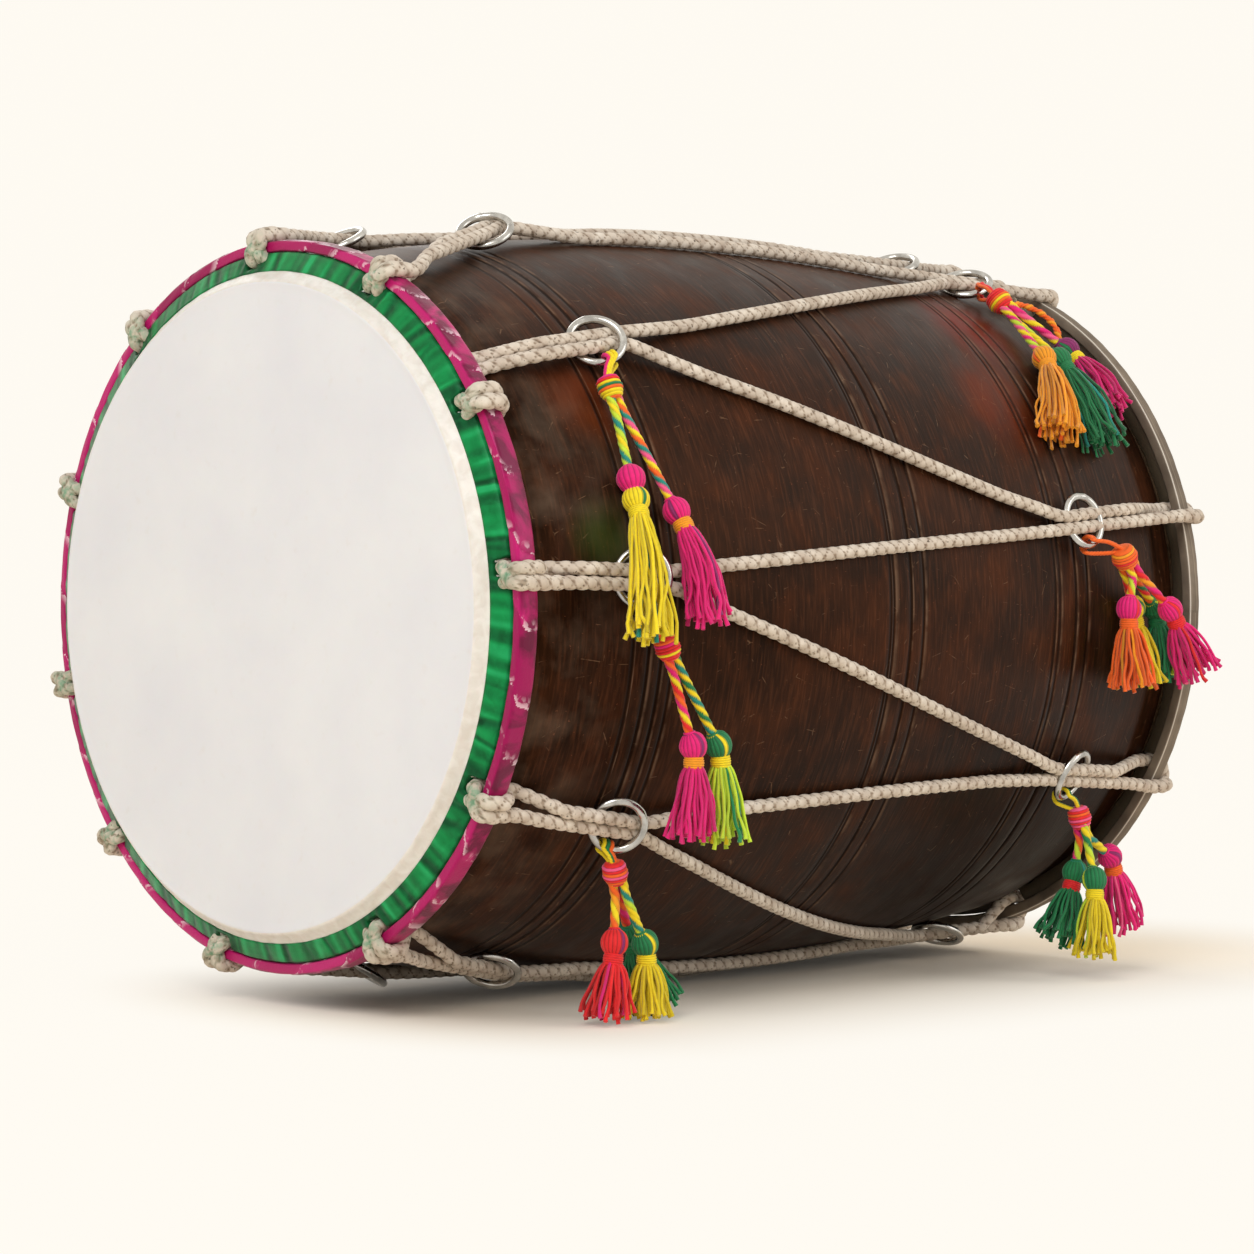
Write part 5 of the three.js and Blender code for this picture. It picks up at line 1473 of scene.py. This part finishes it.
# Low on the bass side the wood is less glossy, and painted shade makes it nearly black there
low = add_node(tree, "ShaderNodeMapRange", {
    "Value": split.outputs["Z"], "From Min": 0.2, "From Max": 0.07}, interpolation_type="SMOOTHSTEP")
bass_side = add_node(tree, "ShaderNodeMapRange", {
    "Value": east, "From Min": -0.12, "From Max": 0.16}, interpolation_type="SMOOTHSTEP")
shaded_and_dull = add_node(tree, "ShaderNodeMath", {0: low, 1: bass_side}, operation="MULTIPLY")
layers.append((add_node(tree, "ShaderNodeMath", {0: shaded_and_dull, 1: 0.7}, operation="MULTIPLY"), "#0c0603"))
for share, colour in layers:
    base = add_node(tree, "ShaderNodeMix", {0: share, 6: base, 7: colour}, data_type="RGBA")
polish = add_node(tree, "ShaderNodeValToRGB", {"Fac": mottle}, stops=[(0.3, 0.34), (0.7, 0.5)])
gloss = add_node(tree, "ShaderNodeValToRGB", {"Fac": shaded_and_dull}, stops=[(0.0, 0.18), (1.0, 0.05)])
fill(tree, shader, {"Base Color": base, "Roughness": polish, "IOR": 1.48, "Specular IOR Level": gloss})
# The varnish is brown itself, so it reflects the pale room warmly
fill(tree, shader, {"Specular Tint": "#b07a50"})
fill(tree, shader, {"Normal": add_node(tree, "ShaderNodeBump", {
    "Height": add_node(tree, "ShaderNodeMath", {0: marks, 1: scratch}, operation="SUBTRACT"),
    "Distance": 0.1 * MM})})
print("finish:", stained_wood.name)

# %% [markdown]
# The treble head is a thin white skin, cool in the middle and warmer on its collar. The bass head is
# thick goat skin, cream and brown with small dots of hair roots. Its inside carries a cake of dark tuning
# paste. Hoops of split cane, dark with age, lie hidden inside both rims.

# %% Skins, cane and paste
white_skin, tree, shader = new_material("white_drum_skin")
base = add_node(tree, "ShaderNodeValToRGB", {"Fac": blotches(tree, 60, 4)},
    stops=[(0.25, "#e3e3ea"), (0.75, "#ebebef")])
on_collar = add_node(tree, "ShaderNodeValToRGB", {
    "Fac": add_node(tree, "ShaderNodeAttribute", attribute_name="collar").outputs["Fac"]},
    stops=[(0.0, 0.0), (0.03, 1.0)])
warm = add_node(tree, "ShaderNodeValToRGB", {"Fac": blotches(tree, 7, 4, distortion=0.6)},
    stops=[(0.3, "#ddd6ce"), (0.65, "#ece8e3")])
base = add_node(tree, "ShaderNodeMix", {0: on_collar, 6: base, 7: warm}, data_type="RGBA")
stains = add_node(tree, "ShaderNodeValToRGB", {"Fac": blotches(tree, 9, 4)},
    stops=[(0.62, 0.0), (0.8, 1.0)])
stains = add_node(tree, "ShaderNodeMath", {0: stains, 1: 0.1}, operation="MULTIPLY")
base = add_node(tree, "ShaderNodeMix", {0: stains, 6: base, 7: "#c9b79a"}, data_type="RGBA")
fill(tree, shader, {
    "Base Color": base, "Roughness": 0.42, "Subsurface Weight": 0.08, "Subsurface Scale": 0.004})
fill(tree, shader, {
    "Normal": add_node(tree, "ShaderNodeBump", {"Height": blotches(tree, 5, 4), "Distance": 0.1 * MM})})

goat_skin, tree, shader = new_material("goat_skin")
base = add_node(tree, "ShaderNodeValToRGB", {"Fac": blotches(tree, 70, 6, distortion=0.5)}, stops=[
    (0.2, "#b69f78"), (0.5, "#cbb893"), (0.8, "#dccdae")])
# Its rolled rim is painted dark: painted shade in the gap between the hoop and the shell
rim = add_node(tree, "ShaderNodeValToRGB", {
    "Fac": add_node(tree, "ShaderNodeAttribute", attribute_name="collar").outputs["Fac"]},
    stops=[(0.28, 0.0), (0.42, 0.92)])
base = add_node(tree, "ShaderNodeMix", {0: rim, 6: base, 7: "#33291f"}, data_type="RGBA")
# Hair roots 1.5 mm apart
roots = add_node(tree, "ShaderNodeTexVoronoi", {
    "Vector": add_node(tree, "ShaderNodeTexCoord").outputs["Object"], "Scale": 1 / (1.5 * MM)})
dots = add_node(tree, "ShaderNodeValToRGB", {"Fac": roots.outputs["Distance"]},
    stops=[(0.12, "#7d6443"), (0.24, "#ffffff")])
base = add_node(tree, "ShaderNodeMix", {0: 0.45, 6: base, 7: dots}, data_type="RGBA",
    blend_type="MULTIPLY")
fill(tree, shader, {"Base Color": base, "Roughness": 0.55})
fill(tree, shader, {"Normal": add_node(tree, "ShaderNodeBump", {
    "Height": blotches(tree, 2.5, 4), "Distance": 0.18 * MM})})

cane, tree, shader = new_material("split_cane")
base = add_node(tree, "ShaderNodeValToRGB", {"Fac": blotches(tree, 3, 4)},
    stops=[(0.3, "#3b2c1c"), (0.7, "#5c4630")])
fill(tree, shader, {"Base Color": base, "Roughness": 0.6})
fill(tree, shader, {
    "Normal": add_node(tree, "ShaderNodeBump", {"Height": blotches(tree, 1.5, 3), "Distance": 0.1 * MM})})

paste, tree, shader = new_material("tuning_paste")
base = add_node(tree, "ShaderNodeValToRGB", {"Fac": blotches(tree, 4, 5)},
    stops=[(0.3, "#1d1816"), (0.7, "#3a322d")])
fill(tree, shader, {"Base Color": base, "Roughness": 0.88})
fill(tree, shader, {
    "Normal": add_node(tree, "ShaderNodeBump", {"Height": blotches(tree, 2.5, 5), "Distance": 0.5 * MM})})
print("finishes: skins, cane and paste")

# %% [markdown]
# The satin is a glossy polyester weave, with painted highlights on its ridges and painted shade, nearly
# black-green, in its folds. The ribbon is the same kind of cloth in magenta, shiny where it is stretched
# over the hoop's edge, with a painted pale sheen near the edge of each lap, and painted shade in patches
# on the outside of the hoop.

# %% Satin and ribbon
green_satin, tree, shader = new_material("green_satin")
# Painted light and shade: bright where the fold value is low, nearly black-green deep in the folds
base = add_node(tree, "ShaderNodeValToRGB", {
    "Fac": add_node(tree, "ShaderNodeAttribute", attribute_name="fold").outputs["Fac"]}, stops=[
        (0.0, "#26b06a"), (0.14, "#0b8a46"), (0.34, "#056230"), (0.66, "#033a1c"), (1.0, "#01200f")])
# Blotches of 8 mm make it lighter and darker here and there: painted sheen and shade
uneven = add_node(tree, "ShaderNodeValToRGB", {"Fac": blotches(tree, 8, 4, distortion=0.8)},
    stops=[(0.35, "#034c25"), (0.68, "#1c9f5a")])
base = add_node(tree, "ShaderNodeMix", {0: 0.25, 6: base, 7: uneven}, data_type="RGBA")
fill(tree, shader, {
    "Base Color": base, "Roughness": 0.38, "Specular Tint": "#7fd6a2", "Sheen Weight": 0.05})
# Satin threads are 0.1 mm apart; drawn at 0.8 mm
fill(tree, shader, {"Normal": add_node(tree, "ShaderNodeBump", {
    "Height": blotches(tree, 0.8, 2), "Distance": 0.08 * MM})})

magenta_ribbon, tree, shader = new_material("magenta_satin_ribbon")
base = add_node(tree, "ShaderNodeValToRGB", {
    "Fac": add_node(tree, "ShaderNodeAttribute", attribute_name="lap").outputs["Fac"]}, stops=[
        (0.0, "#96074f"), (0.5, "#ae0b5e"), (1.0, "#c21a70")])
# Painted shade in long patches of about 20 mm on the outside of the hoop, and a painted pale sheen near the
# laps' edges
patches = add_node(tree, "ShaderNodeValToRGB", {"Fac": blotches(tree, 20, 4, distortion=0.8)},
    stops=[(0.4, 0.0), (0.56, 1.0)])
outside = add_node(tree, "ShaderNodeValToRGB", {
    "Fac": add_node(tree, "ShaderNodeAttribute", attribute_name="facing").outputs["Fac"]},
    stops=[(0.35, 0.0), (0.75, 1.0)])
painted_outer_shade = add_node(tree, "ShaderNodeMath", {0: patches, 1: outside}, operation="MULTIPLY")
painted_outer_shade = add_node(tree, "ShaderNodeMath", {0: painted_outer_shade, 1: 0.8}, operation="MULTIPLY")
base = add_node(tree, "ShaderNodeMix", {0: painted_outer_shade, 6: base, 7: "#4a0d22"}, data_type="RGBA")
edge = add_node(tree, "ShaderNodeMath", {
    0: add_node(tree, "ShaderNodeAttribute", attribute_name="from_edge").outputs["Fac"], 1: 12.0},
    operation="DIVIDE")
edge = add_node(tree, "ShaderNodeValToRGB", {"Fac": edge}, stops=[(0.0, 1.0), (0.1, 0.75), (0.6, 0.0)])
sheen = add_node(tree, "ShaderNodeValToRGB", {"Fac": blotches(tree, 7, 3, distortion=1.0)},
    stops=[(0.47, 0.0), (0.54, 1.0)])
sheen = add_node(tree, "ShaderNodeMath", {0: edge, 1: sheen}, operation="MULTIPLY")
sheen = add_node(tree, "ShaderNodeMath", {0: sheen, 1: 0.8}, operation="MULTIPLY")
base = add_node(tree, "ShaderNodeMix", {0: sheen, 6: base, 7: "#fde4ee"}, data_type="RGBA")
fill(tree, shader, {
    "Base Color": base, "Roughness": 0.33, "Specular Tint": "#f0a0c8", "Sheen Weight": 0.05})
fill(tree, shader, {"Normal": add_node(tree, "ShaderNodeBump", {
    "Height": blotches(tree, 1.2, 3), "Distance": 0.14 * MM})})
print("finishes: satin and ribbon")

# %% [markdown]
# The bass hoop is bare wood, bent round and left to weather: grey-brown, with its grain along the bend.
# The rings are mild steel wire, polished bright by sliding on the rope, with fine scratches.

# %% Bare wood and steel
bare_wood, tree, shader = new_material("weathered_bent_wood")
streak = add_node(tree, "ShaderNodeMath", {
    0: add_node(tree, "ShaderNodeAttribute", attribute_name="round").outputs["Fac"], 1: 26},
    operation="MULTIPLY")
streak = add_node(tree, "ShaderNodeCombineXYZ", {0: streak})
where = add_node(tree, "ShaderNodeTexCoord").outputs["Object"]
# Along the axis the grain is 1.4 mm wide, and round the hoop it is much longer
across_it = add_node(tree, "ShaderNodeVectorMath", {0: where, 1: (1, 0, 0)}, operation="MULTIPLY")
across_it = add_node(tree, "ShaderNodeVectorMath", {0: across_it, "Scale": 700}, operation="SCALE")
grain = add_node(tree, "ShaderNodeVectorMath", {0: across_it, 1: streak}, operation="ADD")
grain = add_node(tree, "ShaderNodeTexNoise", {"Vector": grain, "Scale": 1.0, "Detail": 5.0})
base = add_node(tree, "ShaderNodeValToRGB", {"Fac": grain}, stops=[
    (0.3, "#453a30"), (0.5, "#6f6153"), (0.72, "#978977")])
weathered = add_node(tree, "ShaderNodeValToRGB", {"Fac": blotches(tree, 20, 4)},
    stops=[(0.3, "#52463a"), (0.7, "#9d8f7c")])
base = add_node(tree, "ShaderNodeMix", {0: 0.4, 6: base, 7: weathered}, data_type="RGBA")
# A painted highlight along the corner towards the belly
painted_corner_highlight = add_node(tree, "ShaderNodeMath", {
    0: add_node(tree, "ShaderNodeAttribute", attribute_name="arris").outputs["Fac"], 1: 0.9},
    operation="MULTIPLY")
base = add_node(tree, "ShaderNodeMix", {0: painted_corner_highlight, 6: base, 7: "#f4ecdf"}, data_type="RGBA")
fill(tree, shader, {"Base Color": base, "Roughness": 0.78})
fill(tree, shader, {"Normal": add_node(tree, "ShaderNodeBump", {"Height": grain, "Distance": 0.3 * MM})})

ring_steel, tree, shader = new_material("polished_mild_steel")
base = add_node(tree, "ShaderNodeValToRGB", {"Fac": blotches(tree, 6, 4)},
    stops=[(0.3, "#a5a29d"), (0.7, "#cfccc6")])
polish = add_node(tree, "ShaderNodeValToRGB", {"Fac": blotches(tree, 2.0, 5)},
    stops=[(0.3, 0.12), (0.75, 0.32)])
fill(tree, shader, {"Base Color": base, "Metallic": 1.0, "Roughness": polish})
fill(tree, shader, {"Normal": add_node(tree, "ShaderNodeBump", {
    "Height": blotches(tree, 0.9, 3), "Distance": 0.03 * MM})})
print("finishes: bare wood and steel")

# %% [markdown]
# ## Put together
# Every piece now gets its finish, the body that it moves with and the CAD nodes that it stands for.
# Pieces that are never seen, such as the paste, keep their CAD solids and get only a finish.

# %% Bodies and slots
def dress(piece, body, nodes, material=None):
    """Finish a piece, let it ride on its body and stand for its nodes."""
    if material:
        piece.data.materials.clear()
        piece.data.materials.append(material)
    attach(piece, body)
    if nodes:
        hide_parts(*nodes)


dress(shell, "drum", ["shell"], stained_wood)
dress(skins["treble"], "drum", ["treble_skin"], white_skin)
dress(skins["bass"], "drum", ["bass_skin"], goat_skin)
dress(satin, "drum", ["treble_cloth_band"], green_satin)
dress(treble_hoop, "drum", ["treble_hoop"], magenta_ribbon)
dress(bass_hoop, "drum", ["bass_hoop"], bare_wood)
for rope in ropes:
    dress(rope, "drum", ["lacing_rope"])
for name, ring in rings.items():
    dress(ring, name, [name], ring_steel)
for name, material in (("treble_flesh_hoop", cane), ("bass_flesh_hoop", cane), ("bass_paste", paste)):
    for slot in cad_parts[name].material_slots:
        slot.material = material

for bunch, tie in ties.items():
    dress(tie, f"bunch_{bunch}", [f"tie_{bunch}"])
for full, tassel in tassels.items():
    body, node = f"bunch_{tassel['bunch']}", f"tassel_{full}"
    slot = f"{full.rsplit('_', 1)[1]}_thread"
    for piece in (tassel["cord"], tassel["head_piece"], tassel["fringe"]):
        dress(piece, body, [node])

# %% [markdown]
# ## Floor and light
# The drum lies on a pale floor that runs up into a pale wall behind it, as a sheet of studio paper does.
# The camera sees the paper nearly white, but the paper still takes the drum's soft shadow. One large
# lamp hangs above the treble side, a weaker one fills the bass side, a third lights the far edges, and
# the world adds the rest. Their level is plain, so a colour renders about as it is written.

# %% Studio paper
PAPER = "#fffbf3"


def seen_directly(tree):
    """1 for a ray that shows a thing itself, also in metal or through glass, and 0 for one that lights."""
    path = add_node(tree, "ShaderNodeLightPath")
    either = add_node(tree, "ShaderNodeMath", {
        0: path.outputs["Is Camera Ray"], 1: path.outputs["Is Glossy Ray"]}, operation="MAXIMUM")
    return add_node(tree, "ShaderNodeMath", {0: either, 1: path.outputs["Is Transmission Ray"]},
        operation="MAXIMUM")


paper, tree, shader = new_material("studio_paper")
fill(tree, shader, {"Base Color": "#f9eedd", "Roughness": 0.95})
glow = add_node(tree, "ShaderNodeEmission", {"Color": PAPER, "Strength": 1.0})
# Near the drum the paper takes its shadow, and further off it is as bright as the backdrop
spot = add_node(tree, "ShaderNodeSeparateXYZ", {
    "Vector": add_node(tree, "ShaderNodeTexCoord").outputs["Object"]})
past_treble = add_node(tree, "ShaderNodeMath", {0: -0.2, 1: spot.outputs["X"]}, operation="SUBTRACT")
past_treble = add_node(tree, "ShaderNodeMath", {0: past_treble, 1: 1.6}, operation="MULTIPLY")
past_treble = add_node(tree, "ShaderNodeMath", {0: past_treble, 1: 0.0}, operation="MAXIMUM")
past_bass = add_node(tree, "ShaderNodeMath", {0: spot.outputs["X"], 1: 0.3}, operation="SUBTRACT")
past_bass = add_node(tree, "ShaderNodeMath", {0: past_bass, 1: 0.0}, operation="MAXIMUM")
past_end = add_node(tree, "ShaderNodeMath", {0: past_treble, 1: past_bass}, operation="ADD")
in_front = add_node(tree, "ShaderNodeMath", {0: spot.outputs["Y"], 1: 0.06}, operation="ADD")
away = add_node(tree, "ShaderNodeCombineXYZ", {0: past_end, 1: in_front, 2: spot.outputs["Z"]})
away = add_node(tree, "ShaderNodeVectorMath", {0: away}, operation="LENGTH").outputs["Value"]
away = add_node(tree, "ShaderNodeMapRange", {
    "Value": away, "From Min": 0.04, "From Max": 0.28, "To Min": 0.02, "To Max": 0.98},
    interpolation_type="SMOOTHSTEP").outputs["Result"]
share = add_node(tree, "ShaderNodeMath", {0: seen_directly(tree), 1: away}, operation="MULTIPLY")
blend = add_node(tree, "ShaderNodeMixShader", {0: share, 1: shader.outputs["BSDF"], 2: glow})
fill(tree, tree.nodes["Material Output"], {"Surface": blend})

profile = [(-4.0, 0.0), (2.0, 0.0), (2.6, 0.08), (3.0, 0.35), (3.2, 0.9), (3.25, 4.0)]
forward = np.array([-back.x, -back.y, 0.0]) / math.hypot(back.x, back.y)
sideways = np.array([level.x, level.y, 0.0])
rows = np.array([forward * d + np.array([0, 0, h]) for d, h in profile])
paper_points = (rows[:, None] + sideways * np.linspace(-5, 5, 9)[None, :, None]) / MM
floor = make_object("floor", grid(paper_points, wrap_columns=False, caps=False), paper)
if sum(p.normal.z for p in floor.data.polygons) < 0:
    floor.data.flip_normals()

world = bpy.data.worlds.new("studio")
scene.world = world
world.use_nodes = True
tree = world.node_tree
strength = add_node(tree, "ShaderNodeMapRange", {
    "Value": seen_directly(tree), "To Min": 0.6, "To Max": 1.0})
fill(tree, tree.nodes["Background"], {"Color": PAPER, "Strength": strength})


def lamp(name, where, size, power):
    """Square white lamp that faces the drum."""
    made = bpy.data.objects.new(name, bpy.data.lights.new(name, "AREA"))
    made.data.size, made.data.energy = size, power
    aim = Vector((0, 0, 0.2)) - Vector(where)
    made.matrix_world = Matrix.Translation(where) @ aim.to_track_quat("-Z", "Y").to_matrix().to_4x4()
    scene.collection.objects.link(made)


lamp("key", (-1.9, -1.3, 1.9), 1.3, 31)
lamp("fill", (1.2, -2.2, 1.3), 1.6, 16)
lamp("rim", (0.4, 1.6, 1.7), 1.0, 12)
